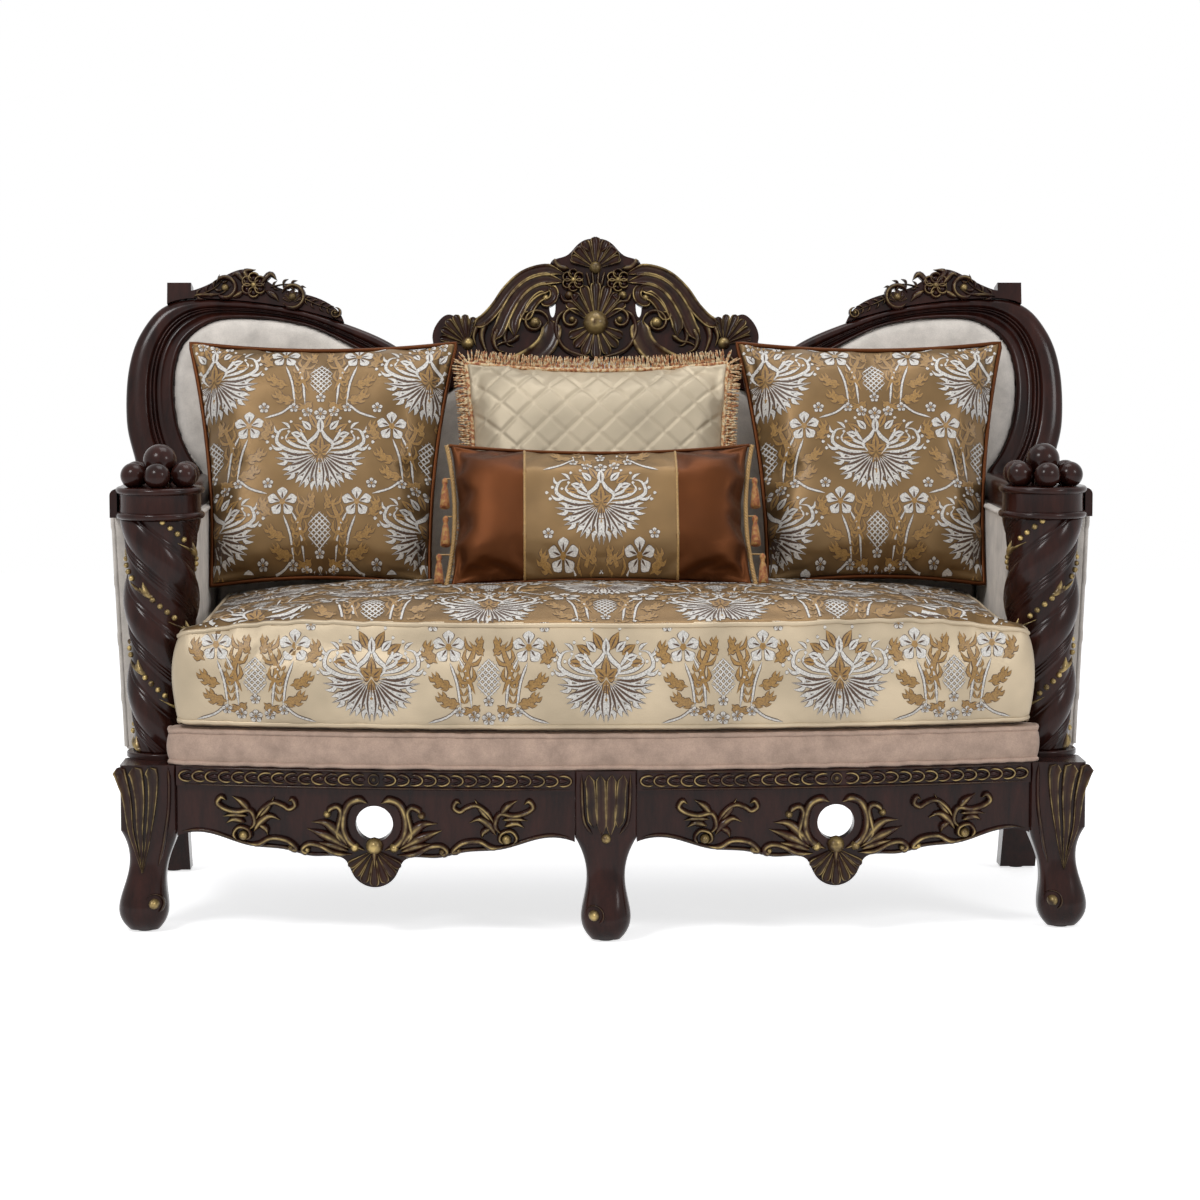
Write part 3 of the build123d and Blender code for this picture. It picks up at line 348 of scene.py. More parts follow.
def new_object(name, points, faces, material, smooth=True, gilt=None):
    """A mesh object at the origin from points and faces."""
    mesh = bpy.data.meshes.new(name)
    mesh.from_pydata(points, [], faces)
    mesh.update()
    if gilt:
        layer = mesh.attributes.new("gilt", "FLOAT", "POINT")
        layer.data.foreach_set("value", gilt)
    mesh.polygons.foreach_set("use_smooth", [smooth] * len(mesh.polygons))
    mesh.materials.append(material)
    made = bpy.data.objects.new(name, mesh)
    bpy.context.collection.objects.link(made)
    return made


def merged(made, gap, outwards=False):
    """Merges points closer than the gap; the faces of a closed mesh can be turned outwards too."""
    working = bmesh.new()
    working.from_mesh(made.data)
    bmesh.ops.remove_doubles(working, verts=working.verts, dist=gap)
    if outwards:
        bmesh.ops.recalc_face_normals(working, faces=working.faces)
    working.to_mesh(made.data)
    working.free()
    return made


def outward(made):
    """A closed mesh with its doubles merged and its faces turned outwards."""
    return merged(made, 0.02 * MM, outwards=True)


def grid_faces(rows, columns, close_columns=False, start=0):
    """Quads over a grid of points, its rows wrapped round where asked."""
    faces = []
    for row in range(rows - 1):
        after = row + 1
        for column in range(columns if close_columns else columns - 1):
            beside = (column + 1) % columns
            corners = ((row, column), (row, beside), (after, beside), (after, column))
            faces.append(tuple(start + r * columns + c for r, c in corners))
    return faces


def tube_faces(rows, columns, start=0):
    """Faces of a closed tube: quads round it and a cap at each end."""
    last = start + (rows - 1) * columns
    caps = [tuple(range(first, first + columns)) for first in (start, last)]
    return grid_faces(rows, columns, close_columns=True, start=start) + caps


def finished(made, body, slot, replaced=()):
    """Gives a piece its body and hides the solid parts it replaces; slot is not used."""
    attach(made, body)
    if replaced:
        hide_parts(*replaced)
    return made


def applied(made):
    """Turns an object's modifiers into a plain mesh."""
    depsgraph = bpy.context.evaluated_depsgraph_get()
    mesh = bpy.data.meshes.new_from_object(made.evaluated_get(depsgraph))
    made.modifiers.clear()
    old = made.data
    made.data = mesh
    bpy.data.meshes.remove(old)
    return made


def drawn(route):
    """Spots of a drawing as vectors of its plane."""
    return [Vector((u, v, 0)) for u, v in route]


def smooth_path(points, steps=6):
    """Points along a smooth curve through the given ones."""
    count = len(points)
    if count == 2:
        return [points[0].lerp(points[1], i / steps) for i in range(steps + 1)]
    path = []
    for i in range(count - 1):
        here, there = points[i], points[i + 1]
        before = points[i - 1] if i else here * 2 - there
        after = points[i + 2] if i + 2 < count else there * 2 - here
        square = before * 2 - here * 5 + there * 4 - after
        cube = here * 3 - before - there * 3 + after
        for step in range(steps):
            t = step / steps
            path.append(0.5 * (here * 2 + (there - before) * t + square * t**2 + cube * t**3))
    path.append(points[-1].copy())
    return path


def evenly(path, count, closed=False):
    """The path again with evenly spaced points."""
    run = list(path) + ([path[0]] if closed else [])
    lengths = [0.0]
    for first, second in zip(run, run[1:]):
        lengths.append(lengths[-1] + (second - first).length)
    parts = count if closed else count - 1
    result = []
    at = 0
    for i in range(count):
        goal = lengths[-1] * i / parts
        while at < len(run) - 2 and lengths[at + 1] < goal:
            at += 1
        span = lengths[at + 1] - lengths[at] or 1.0
        result.append(run[at].lerp(run[at + 1], (goal - lengths[at]) / span))
    return result


# Node trees for what follows a path


def path_mesh(name, runs):
    """A mesh of bare edges along the runs; each run is (points, closed)."""
    points, edges = [], []
    for run, closed in runs:
        start = len(points)
        points.extend(run)
        edges.extend((start + i, start + i + 1) for i in range(len(run) - 1))
        if closed:
            edges.append((start + len(run) - 1, start))
    mesh = bpy.data.meshes.new(name)
    mesh.from_pydata(points, edges, [])
    made = bpy.data.objects.new(name, mesh)
    bpy.context.collection.objects.link(made)
    return made


def new_tree(name, inputs):
    """An empty geometry tree with named inputs; returns the tree, its input node and its output node."""
    tree = bpy.data.node_groups.new(name, "GeometryNodeTree")
    tree.interface.new_socket("Geometry", in_out="INPUT", socket_type="NodeSocketGeometry")
    for label, kind in inputs:
        tree.interface.new_socket(label, in_out="INPUT", socket_type=kind)
    tree.interface.new_socket("Geometry", in_out="OUTPUT", socket_type="NodeSocketGeometry")
    return tree, tree.nodes.new("NodeGroupInput"), tree.nodes.new("NodeGroupOutput")


def chained(tree, *nodes):
    """Joins the first output of each node to the first input of the next."""
    for source, target in zip(nodes, nodes[1:]):
        tree.links.new(source.outputs[0], target.inputs[0])


def cord_tree():
    """Round cord along every edge run, with a radius and a number of sides."""
    if "cord_along_path" in bpy.data.node_groups:
        return bpy.data.node_groups["cord_along_path"]
    tree, given, result = new_tree(
        "cord_along_path",
        [("Radius", "NodeSocketFloat"), ("Sides", "NodeSocketInt"), ("Material", "NodeSocketMaterial")],
    )
    add, join = tree.nodes.new, tree.links.new
    curve = add("GeometryNodeMeshToCurve")
    circle = add("GeometryNodeCurvePrimitiveCircle")
    sweep = add("GeometryNodeCurveToMesh")
    sweep.inputs["Fill Caps"].default_value = True
    shade = add("GeometryNodeSetShadeSmooth")
    realize = add("GeometryNodeRealizeInstances")
    paint = add("GeometryNodeSetMaterial")
    chained(tree, given, curve, sweep, shade, realize, paint, result)
    join(given.outputs["Sides"], circle.inputs["Resolution"])
    join(given.outputs["Radius"], circle.inputs["Radius"])
    join(circle.outputs[0], sweep.inputs["Profile Curve"])
    join(given.outputs["Material"], paint.inputs["Material"])
    return tree


def repeat_tree():
    """Copies of one shape along every edge run, its Z along the run and its X kept to one side."""
    if "shape_along_path" in bpy.data.node_groups:
        return bpy.data.node_groups["shape_along_path"]
    tree, given, result = new_tree(
        "shape_along_path",
        [
            ("Pitch", "NodeSocketFloat"),
            ("Shape", "NodeSocketObject"),
            ("Side", "NodeSocketVector"),
            ("Sway", "NodeSocketFloat"),
            ("Material", "NodeSocketMaterial"),
        ],
    )
    add, join = tree.nodes.new, tree.links.new
    curve = add("GeometryNodeMeshToCurve")
    points = add("GeometryNodeCurveToPoints")
    points.mode = "LENGTH"
    along = add("FunctionNodeAxesToRotation")
    along.primary_axis = "Z"
    along.secondary_axis = "X"
    sway = add("FunctionNodeRandomValue")
    sway.data_type = "FLOAT_VECTOR"
    sway.inputs["Seed"].default_value = 7
    least = add("ShaderNodeMath")
    least.operation = "MULTIPLY"
    least.inputs[1].default_value = -1.0
    turn = add("FunctionNodeRotateRotation")
    turn.rotation_space = "LOCAL"
    shape = add("GeometryNodeObjectInfo")
    copies = add("GeometryNodeInstanceOnPoints")
    realize = add("GeometryNodeRealizeInstances")
    paint = add("GeometryNodeSetMaterial")
    chained(tree, given, curve, points, copies, realize, paint, result)
    join(given.outputs["Pitch"], points.inputs["Length"])
    join(points.outputs["Tangent"], along.inputs["Primary Axis"])
    join(given.outputs["Side"], along.inputs["Secondary Axis"])
    join(given.outputs["Sway"], least.inputs[0])
    join(least.outputs[0], sway.inputs["Min"])
    join(given.outputs["Sway"], sway.inputs["Max"])
    join(along.outputs[0], turn.inputs["Rotation"])
    join(sway.outputs[0], turn.inputs["Rotate By"])
    join(given.outputs["Shape"], shape.inputs["Object"])
    join(shape.outputs["Geometry"], copies.inputs["Instance"])
    join(turn.outputs[0], copies.inputs["Rotation"])
    join(given.outputs["Material"], paint.inputs["Material"])
    return tree


def run_tree(made, tree, **values):
    """Puts a tree on an object, sets its inputs by identifier and keeps the result as a plain mesh."""
    modifier = made.modifiers.new(tree.name, "NODES")
    modifier.node_group = tree
    for item in tree.interface.items_tree:
        if item.item_type == "SOCKET" and item.in_out == "INPUT" and item.name in values:
            modifier[item.identifier] = values[item.name]
    return applied(made)


def cord_piece(name, runs, radius, finish, body, sides=10, slot=None):
    """Piping, welt or cord along the runs; slot is not used."""
    made = path_mesh(name, runs)
    run_tree(made, cord_tree(), Radius=radius, Sides=sides, Material=finishes[finish])
    return finished(made, body, slot or finish)


def repeated_piece(name, runs, shape, pitch, side, finish, body, sway=0.0):
    """Copies of a small shape along the runs; the shape is removed afterwards."""
    made = path_mesh(name, runs)
    values = {"Pitch": pitch, "Shape": shape, "Side": side, "Sway": sway, "Material": finishes[finish]}
    run_tree(made, repeat_tree(), **values)
    bpy.data.objects.remove(shape)
    return finished(made, body, finish)


# Drawing on surfaces. Drawings are in millimetres of the surface they lie on.


def tree_of(made):
    """Search tree over a piece or a node."""
    points = [made.matrix_world @ vertex.co for vertex in made.data.vertices]
    return BVHTree.FromPolygons(points, [list(polygon.vertices) for polygon in made.data.polygons])


class Surface:
    """Lays flat drawings on a mesh along one direction."""

    def __init__(self, made, origin, across, up, level=None, inside=None, facing=-1.0):
        self.tree = tree_of(made)
        self.facing = facing
        self.inside = inside
        self.origin = Vector(origin)
        self.across = Vector(across)
        self.up = Vector(up)
        self.toward = self.across.cross(self.up)
        self.level = level

    def flat(self, spot):
        """A drawing spot in the plane of the origin."""
        return self.origin + (self.across * spot[0] + self.up * spot[1]) * MM

    def meet(self, spot):
        """Where the surface lies over a drawing spot, and its normal."""
        return self.tree.ray_cast(self.flat(spot) + self.toward, -self.toward)[:2]

    def depth(self, spot):
        """Level for a spot off the surface: a fixed one, or that of the spot inside it."""
        if self.inside is None:
            return self.level
        hit = self.meet(self.inside(spot))[0]
        return None if hit is None else (hit - self.origin).dot(self.toward)

    def foot(self, u, start):
        """Lowest height at which the surface is met straight below a start height."""
        v = start
        while v > 0 and self.meet((u, v))[0] is not None:
            v -= 1.0
        return v + 1.0

    def place(self, spot, lift, square=True):
        """The point over a drawing spot, raised by lift; None off the surface where no level is set."""
        hit, normal = self.meet(spot)
        if hit is None:
            depth = self.depth(spot)
            return None if depth is None else self.flat(spot) + self.toward * (depth + lift * MM)
        if normal.dot(self.toward) < self.facing:
            return None
        return hit + (self.toward if square else normal) * lift * MM


# Sections: share of the half breadth, share of the height or None where sunk, and share of the gilding
RIDGE = (
    (-1.0, None, 0.0), (-0.72, 0.62, 0.0), (-0.32, 0.94, 0.15), (0.0, 1.0, 1.0),
    (0.32, 0.94, 0.15), (0.72, 0.62, 0.0), (1.0, None, 0.0),
)
FLUTE = (
    (-1.0, None, 0.0), (-0.92, 0.88, 0.30), (-0.80, 1.0, 1.0), (-0.62, 0.80, 0.12), (0.0, 0.40, 0.0),
    (0.62, 0.80, 0.12), (0.80, 1.0, 1.0), (0.92, 0.88, 0.30), (1.0, None, 0.0),
)
RIBBON = ((-1.0, 1.0, 0.0), (0.0, 1.0, 0.0), (1.0, 1.0, 0.0))
# How far the edge of a ridge or boss is sunk in the wood, in millimetres
SUNK = 1.2
# Share of a ridge's breadth at each share of its length
FORMS = {
    "leaf": lambda t: math.sin(math.pi * t**0.75),
    "petal": lambda t: math.sin(math.pi * t**1.5),
    "shell": lambda t: (0.22 + 0.78 * t) * math.sqrt(max(0.02, 1 - max(0.0, (t - 0.76) / 0.24) ** 2)),
    "stem": lambda t: min(1.0, 7 * t + 0.1, 7 * (1 - t) + 0.1),
    "tail": lambda t: (1 - t) ** 0.7 * min(1.0, 8 * t + 0.2),
}


class Relief:
    """Gathers ridges, domes and ribbons drawn on one surface into one mesh."""

    def __init__(self, surface, section=RIDGE):
        self.surface = surface
        self.section = section
        self.points, self.faces, self.gilt = [], [], []

    def ridge(self, route, width, height, gilt=0.0, form="leaf", steps=5, section=None):
        """A tapering ridge along a smooth route through the given spots; width is its full breadth."""
        section = section or self.section
        closed = section is not RIBBON
        path = smooth_path(drawn(route), steps)
        across = len(section)
        rows = []
        for i, spot in enumerate(path):
            ahead = path[min(i + 1, len(path) - 1)] - path[max(i - 1, 0)]
            if ahead.length < 1e-9:
                continue
            side = Vector((-ahead.y, ahead.x, 0)).normalized()
            swell = FORMS[form](i / (len(path) - 1))
            row = []
            for offset, rise, shine in section:
                at = spot + side * offset * width / 2 * max(swell, 0.04)
                lift = -SUNK if rise is None else height * rise * max(swell, 0.12) ** 0.5
                if not closed:
                    lift = height
                put = self.surface.place(at, lift, square=closed)
                if put is None:
                    row = None
                    break
                row.append((put, gilt * shine))
            rows.append(row)
        for first, second in zip(rows, rows[1:]):
            if first is None or second is None:
                continue
            start = len(self.points)
            for put, shine in first + second:
                self.points.append(put)
                self.gilt.append(shine)
            for k in range(across if closed else across - 1):
                beside = (k + 1) % across
                self.faces.append((start + beside, start + k, start + across + k, start + across + beside))

    def dome(self, centre, radius, height, gilt=0.0, sides=12, rings=4):
        """A round boss."""
        start = len(self.points)
        for ring in range(rings):
            turn = math.pi / 2 * ring / rings
            lift = height * math.sin(turn) if ring else -SUNK
            for k in range(sides):
                spot = around(centre, radius * math.cos(turn), 360 * k / sides)
                put = self.surface.place(spot, lift)
                if put is None:
                    del self.points[start:], self.gilt[start:]
                    return
                self.points.append(put)
                self.gilt.append(gilt * math.sin(turn))
        self.points.append(self.surface.place(centre, height))
        self.gilt.append(gilt)
        top = len(self.points) - 1
        self.faces.extend(grid_faces(rings, sides, close_columns=True, start=start))
        last = start + (rings - 1) * sides
        self.faces.extend((last + k, last + (k + 1) % sides, top) for k in range(sides))

    def piece(self, name, finish="show_wood", body=FRAME_BODY, slot=None):
        """The gathered mesh as a finished piece; slot is not used."""
        made = new_object(name, self.points, self.faces, finishes[finish], gilt=self.gilt)
        merged(made, 0.002 * MM)
        return finished(made, body, slot or finish)


def turned(spot, angle):
    """A flat vector turned by an angle in degrees."""
    turn = math.radians(angle)
    ahead, aside = math.cos(turn), math.sin(turn)
    return Vector((spot.x * ahead - spot.y * aside, spot.x * aside + spot.y * ahead, 0))


def around(centre, radius, angle):
    """The spot at that radius and angle, in degrees, round a centre."""
    turn = math.radians(angle)
    return (centre[0] + radius * math.cos(turn), centre[1] + radius * math.sin(turn))


def bow(centre, radius, start, end, count=7):
    """Spots along an arc."""
    return [around(centre, radius, start + (end - start) * i / (count - 1)) for i in range(count)]


def volute(relief, centre, radius, start, turns, width, height, gilt):
    """A scroll that winds in from its rim to a round eye; negative turns wind clockwise."""
    count = int(abs(turns) * 9) + 4
    route = []
    for i in range(count):
        t = i / (count - 1)
        route.append(around(centre, radius * (1 - 0.72 * t), start + 360 * turns * t))
    relief.ridge(route, width, height, gilt * 0.8, form="stem", steps=3)
    relief.dome(centre, radius * 0.30, height * 1.2, gilt, sides=10, rings=3)


def fan(relief, centre, radius, start, end, ribs, height, gilt):
    """A shell of ribs that open from a centre."""
    step = (end - start) / ribs
    for i in range(ribs):
        angle = start + step * (i + 0.5)
        middle = 1 - abs(2 * (i + 0.5) / ribs - 1)
        reach = radius * (0.82 + 0.18 * middle)
        route = [around(centre, distance, angle) for distance in (radius * 0.16, reach * 0.6, reach)]
        breadth = 2 * reach * math.sin(math.radians(abs(step) / 2)) * 1.05
        relief.ridge(route, breadth, height, gilt, form="shell", steps=6, section=FLUTE)


def rosette(relief, centre, radius, petals, height, gilt):
    """A flower with a round eye."""
    size = 0.8 * radius * math.sin(math.pi / petals)
    for i in range(petals):
        spot = around(centre, radius - size, 360 * i / petals + 90)
        relief.ridge(bow(spot, size, 0, 360, 9), size * 0.75, height, gilt * 0.6, form="stem", steps=3)
        relief.dome(spot, size * 0.75, height * 0.6, 0.0, sides=8, rings=3)
    relief.dome(centre, radius * 0.30, height * 1.35, gilt, sides=10, rings=3)


def acanthus(relief, route, reach, height, lobes, gilt):
    """A leaf with a raised rib and curling lobes either side of it."""
    path = smooth_path(drawn(route), 8)
    for i in range(lobes):
        t = (i + 0.5) / (lobes + 0.3)
        at = min(int(t * (len(path) - 1)), len(path) - 2)
        spot = path[at]
        ahead = (path[at + 1] - spot).normalized()
        length = reach * (0.45 + 0.55 * math.sin(math.pi * (0.2 + 0.7 * t)))
        for side in (1, -1):
            middle = spot + turned(ahead, side * 62) * length * 0.5
            tip = spot + turned(ahead, side * 40) * length
            lobe = [spot[:2], middle[:2], tip[:2]]
            relief.ridge(lobe, length * 0.42, height * 0.8, gilt * 0.5, steps=4)
    relief.ridge([spot[:2] for spot in path[::4]], reach * 0.26, height, gilt, form="tail", steps=4)


# Pieces


def corners_of(node):
    """Lowest and highest corner of a node's box."""
    return [Vector(corner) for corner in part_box(node)]


def clamped(value):
    """A value kept between 0 and 1."""
    return max(0.0, min(1.0, value))


def front_surface(node, column=None, row=None):
    """The front as a drawing surface: x across, y height; spots beside it go by that column or row of it."""

    def inside(spot):
        return (spot[0] if column is None else column, spot[1] if row is None else row)

    return Surface(frame["nodes"][node], (0, 0, 0), (1, 0, 0), (0, 0, 1), inside=inside)


def back_spot(x, height, forward):
    """A point of the leaning back: x and height in millimetres, moved forward by metres."""
    foot = BACK_FOOT + Vector((x * MM, height * MM * math.tan(BACK_LEAN), height * MM))
    return foot + BACK_FORWARD * forward


def carve_back(node, forward):
    """A relief on a node of the leaning back: x across, y up the lean from the floor line."""
    return Relief(Surface(frame["nodes"][node], BACK_FOOT, (1, 0, 0), BACK_UP, level=forward))


def high(x, z, side=1):
    """The spot of such a relief at that height above the floor, mirrored where side is -1."""
    return (side * x, z / math.cos(BACK_LEAN))


def backdrop_rays(tree):
    """Camera, glossy and transmission rays, which see the white backdrop."""
    path = tree.nodes.new("ShaderNodeLightPath")
    seen = path.outputs["Is Camera Ray"]
    for ray in ("Is Glossy Ray", "Is Transmission Ray"):
        either = tree.nodes.new("ShaderNodeMath")
        either.operation = "MAXIMUM"
        tree.links.new(seen, either.inputs[0])
        tree.links.new(path.outputs[ray], either.inputs[1])
        seen = either.outputs[0]
    return seen


FLOOR_SIZE = 14.0
# Lamps: name, place, size and power, all aimed at the middle of the loveseat
LAMPS = [
    ("key_light", (-2.4, -3.2, 3.8), 1.2, 92.0),
    ("fill_light", (3.2, -3.0, 2.6), 1.1, 40.0),
    ("top_light", (0.2, 0.1, 4.2), 2.0, 50.0),
]
LAMP_TARGET = Vector((0, 0, 0.6))
CAMERA_PLACE = (-0.156, -6.366, 1.18)
CAMERA_LENS = 102.3
CAMERA_YAW = math.radians(1.4)
CAMERA_PITCH = math.radians(5.5)


class LOVESEAT_OT_stage(bpy.types.Operator):
    """Floor, soft studio light, world and camera"""

    bl_idname = "loveseat.stage"
    bl_label = "Stage"

    def execute(self, context):
        scene = context.scene
        scene.view_settings.view_transform = "Standard"
        half = FLOOR_SIZE / 2
        corners = [(-half, -half, 0), (half, -half, 0), (half, half, 0), (-half, half, 0)]
        finish = Finish("pale_floor")
        tone = finish.noise(finish.place(), 1.5)
        finish.colour(finish.ramp(tone, [(0.4, (0.90, 0.90, 0.90)), (0.6, (0.92, 0.92, 0.92))]))
        finish.set(Roughness=0.9, Specular_IOR_Level=0.1, Emission_Color=(1, 1, 1, 1))
        glow = finish.maths("MULTIPLY", backdrop_rays(finish.tree), 0.72)
        finish.link(glow, finish.shader.inputs["Emission Strength"])
        floor = new_object("floor", corners, [(0, 1, 2, 3)], finish.material, smooth=False)

        world = bpy.data.worlds.new("studio")
        scene.world = world
        world.use_nodes = True
        tree = world.node_tree
        sky = tree.nodes["Background"]
        sky.inputs["Color"].default_value = (0.93, 0.95, 1.0, 1)
        sky.inputs["Strength"].default_value = 0.36
        paper = tree.nodes.new("ShaderNodeBackground")
        paper.inputs["Color"].default_value = (1, 1, 1, 1)
        mix = tree.nodes.new("ShaderNodeMixShader")
        tree.links.new(backdrop_rays(tree), mix.inputs[0])
        tree.links.new(sky.outputs[0], mix.inputs[1])
        tree.links.new(paper.outputs[0], mix.inputs[2])
        tree.links.new(mix.outputs[0], tree.nodes["World Output"].inputs["Surface"])

        for name, place, size, power in LAMPS:
            lamp = bpy.data.lights.new(name, "AREA")
            lamp.size = size
            lamp.energy = power
            holder = bpy.data.objects.new(name, lamp)
            holder.location = place
            aim = LAMP_TARGET - Vector(place)
            holder.rotation_euler = aim.to_track_quat("-Z", "Y").to_euler()
            context.collection.objects.link(holder)

        camera = bpy.data.cameras.new("camera")
        camera.sensor_width = 36.0
        camera.lens = CAMERA_LENS
        camera.clip_end = 100.0
        holder = bpy.data.objects.new("camera", camera)
        holder.location = CAMERA_PLACE
        level = math.cos(CAMERA_PITCH)
        aim = Vector((math.sin(CAMERA_YAW) * level, math.cos(CAMERA_YAW) * level, -math.sin(CAMERA_PITCH)))
        holder.rotation_euler = aim.to_track_quat("-Z", "Y").to_euler()
        context.collection.objects.link(holder)
        scene.camera = holder
        return {"FINISHED"}


class LOVESEAT_OT_finishes(bpy.types.Operator):
    """Materials, and the finish of every piece that keeps its solid shape"""

    bl_idname = "loveseat.finishes"
    bl_label = "Finishes"

    def execute(self, context):
        make_finishes()
        for part in frame["record"]["subparts"]:
            node = frame["nodes"][part["node"]]
            node.data.materials.clear()
            node.data.materials.append(finishes[part["material_slot"]])
        return {"FINISHED"}


# Twisted columns: place of each band's edge as a share of half the round, and its rise in millimetres
COLUMN_BANDS = [
    (0.00, -8.0), (0.02, -4.5), (0.08, -1.0), (0.15, 1.2), (0.22, 2.0), (0.29, 1.2), (0.36, -1.0),
    (0.42, -4.5), (0.44, -8.5), (0.455, -5.0), (0.47, -4.4), (0.485, -8.8), (0.50, -5.4), (0.515, -4.8),
    (0.53, -9.0), (0.545, -5.8), (0.56, -5.4), (0.58, -9.5), (0.62, -8.6), (0.77, -7.4), (0.92, -8.6),
    (0.965, -9.6), (0.98, -6.0), (0.99, -5.6), (1.00, -8.0),
]
COLUMN_STARTS = 2
COLUMN_TURNS = 1.35
COLUMN_ROWS = 150
COLUMN_FOOT_RADIUS = 61 * MM
COLUMN_EASE = 1.6
# Beads and tulips: middle of the hollow band that carries them, and how often they follow each other
BEAD_BAND = 0.77
BEAD_MOTIFS = 6
BEAD_RADIUS = 5.4 * MM
BEAD_PITCH = 13.5 * MM
# Petals of the tulips on a column: lean in shares of a start, length in shares of a motif, and half breadth
# in shares of a start
TULIP_PETALS = ((-0.105, 0.42, 0.040), (0.105, 0.42, 0.040), (0.0, 0.28, 0.062))
TULIP_SECTION = ((-1.0, -0.5, 0.0), (-0.6, 4.8, 0.55), (0.0, 7.2, 0.95), (0.6, 4.8, 0.55), (1.0, -0.5, 0.0))
TULIP_STEPS = 10


def column_rise(share):
    """Height of the twist's profile at a share of one start, in millimetres."""
    share %= 1.0
    for (first, low), (second, top) in zip(COLUMN_BANDS, COLUMN_BANDS[1:]):
        if first <= share <= second:
            return low + (top - low) * (share - first) / (second - first)
    return COLUMN_BANDS[-1][1]


class LOVESEAT_OT_columns(bpy.types.Operator):
    """Twisted arm columns with bands of beads and tulips"""

    bl_idname = "loveseat.columns"
    bl_label = "Arm columns"

    def execute(self, context):
        for side, name in SIDES:
            self.column(side, name)
        return {"FINISHED"}

    def column(self, side, name):
        """One column; side is 1 on the right and -1 on the left."""
        node = f"arm_column_{name}"
        low, top = corners_of(node)
        centre = (low + top) / 2
        widening = (top.x - low.x) / 2 - COLUMN_FOOT_RADIUS
        height = top.z - low.z
        shares = []
        for start in range(COLUMN_STARTS):
            for (first, _), (second, _) in zip(COLUMN_BANDS, COLUMN_BANDS[1:]):
                parts = max(1, round((second - first) * 30))
                shares.extend(start + first + (second - first) * k / parts for k in range(parts))

        def spot(share, t, lift):
            """Point of the shaft at a share of the round and of the height."""
            radius = COLUMN_FOOT_RADIUS + widening * t
            angle = side * (math.pi * share + 2 * math.pi * COLUMN_TURNS * t) + (math.pi if side < 0 else 0)
            reach = radius + (column_rise(share) + lift - COLUMN_EASE) * MM
            x, y = around(centre, reach, math.degrees(angle))
            return Vector((x, y, low.z + height * t))

        points = []
        for row in range(COLUMN_ROWS):
            t = row / (COLUMN_ROWS - 1)
            points.extend(spot(share, t, 0) for share in shares)
        faces = tube_faces(COLUMN_ROWS, len(shares))
        shaft = outward(new_object(f"twisted_{node}", points, faces, finishes["show_wood"]))
        finished(shaft, FRAME_BODY, "show_wood", [node])

        ball = bmesh.new()
        bmesh.ops.create_icosphere(ball, subdivisions=2, radius=BEAD_RADIUS)
        points = [vertex.co.copy() for vertex in ball.verts]
        faces = [[vertex.index for vertex in face.verts] for face in ball.faces]
        ball.free()
        shape = new_object("bead", points, faces, finishes["show_wood"], gilt=[0.9] * len(points))
        runs = []
        for start in range(COLUMN_STARTS):
            for motif in range(BEAD_MOTIFS):
                begin, end = (motif + 0.50) / BEAD_MOTIFS, (motif + 0.96) / BEAD_MOTIFS
                run = [spot(start + BEAD_BAND, begin + (end - begin) * k / 12, 1.0) for k in range(13)]
                runs.append((run, False))
        repeated_piece(f"column_beads_{name}", runs, shape, BEAD_PITCH, (0, 0, 1), "show_wood", FRAME_BODY)
        self.leaves(name, spot)

    def leaves(self, name, spot):
        """Tulip leaves between the bead runs of a column."""
        points, faces, gilt = [], [], []
        for start in range(COLUMN_STARTS):
            for motif in range(BEAD_MOTIFS):

                def put(across, along, lift, share=start + BEAD_BAND, motif=motif):
                    return spot(share + across, (motif + along) / BEAD_MOTIFS, lift)

                for lean, reach, breadth in TULIP_PETALS:
                    self.leaf(points, faces, gilt, put, lean, reach, breadth)
        made = new_object(f"column_leaves_{name}", points, faces, finishes["show_wood"], gilt=gilt)
        finished(made, FRAME_BODY, "show_wood")

    def leaf(self, points, faces, gilt, put, lean, reach, breadth):
        """One petal of a tulip, which leans to a side of the band."""
        start = len(points)
        for k in range(TULIP_STEPS):
            t = k / (TULIP_STEPS - 1)
            swell = math.sin(math.pi * min(0.99, 0.04 + t**0.75 * 0.95))
            for offset, lift, shine in TULIP_SECTION:
                points.append(put(lean * t**1.5 + offset * breadth * swell, reach * t, lift * swell - 0.6))
                gilt.append(shine)
        faces.extend(grid_faces(TULIP_STEPS, len(TULIP_SECTION), start=start))


# Wing hoop: its outer and inner outlines, x and floor height, from the arm round the ear to the crest
WING_OUTER = [
    (884, 736), (902, 810), (920, 886), (918, 985), (894, 1060), (842, 1115), (752, 1125), (630, 1113),
    (536, 1092), (416, 1047), (320, 983),
]
WING_INNER = [
    (796, 736), (771, 754), (768, 784), (795, 823), (819, 883), (827, 965), (809, 1037), (752, 1081),
    (678, 1087), (601, 1079), (531, 1058), (412, 993), (320, 935),
]
# Moulding across the hoop from outside to inside: share of the breadth, and rise before the back plane
WING_MOULDING = [
    (0.00, -45), (0.00, -6), (0.015, 3), (0.06, 9), (0.16, 13), (0.28, 14.5), (0.40, 13), (0.455, 9),
    (0.465, 5), (0.475, 10), (0.495, 14), (0.515, 14), (0.53, 10), (0.54, 5), (0.55, 10), (0.57, 14),
    (0.59, 14), (0.605, 10), (0.615, 4), (0.64, 2), (0.72, 5), (0.82, 10), (0.90, 14), (0.955, 14),
    (0.985, 8), (1.00, 0), (1.00, -45),
]
WING_STEPS = 150
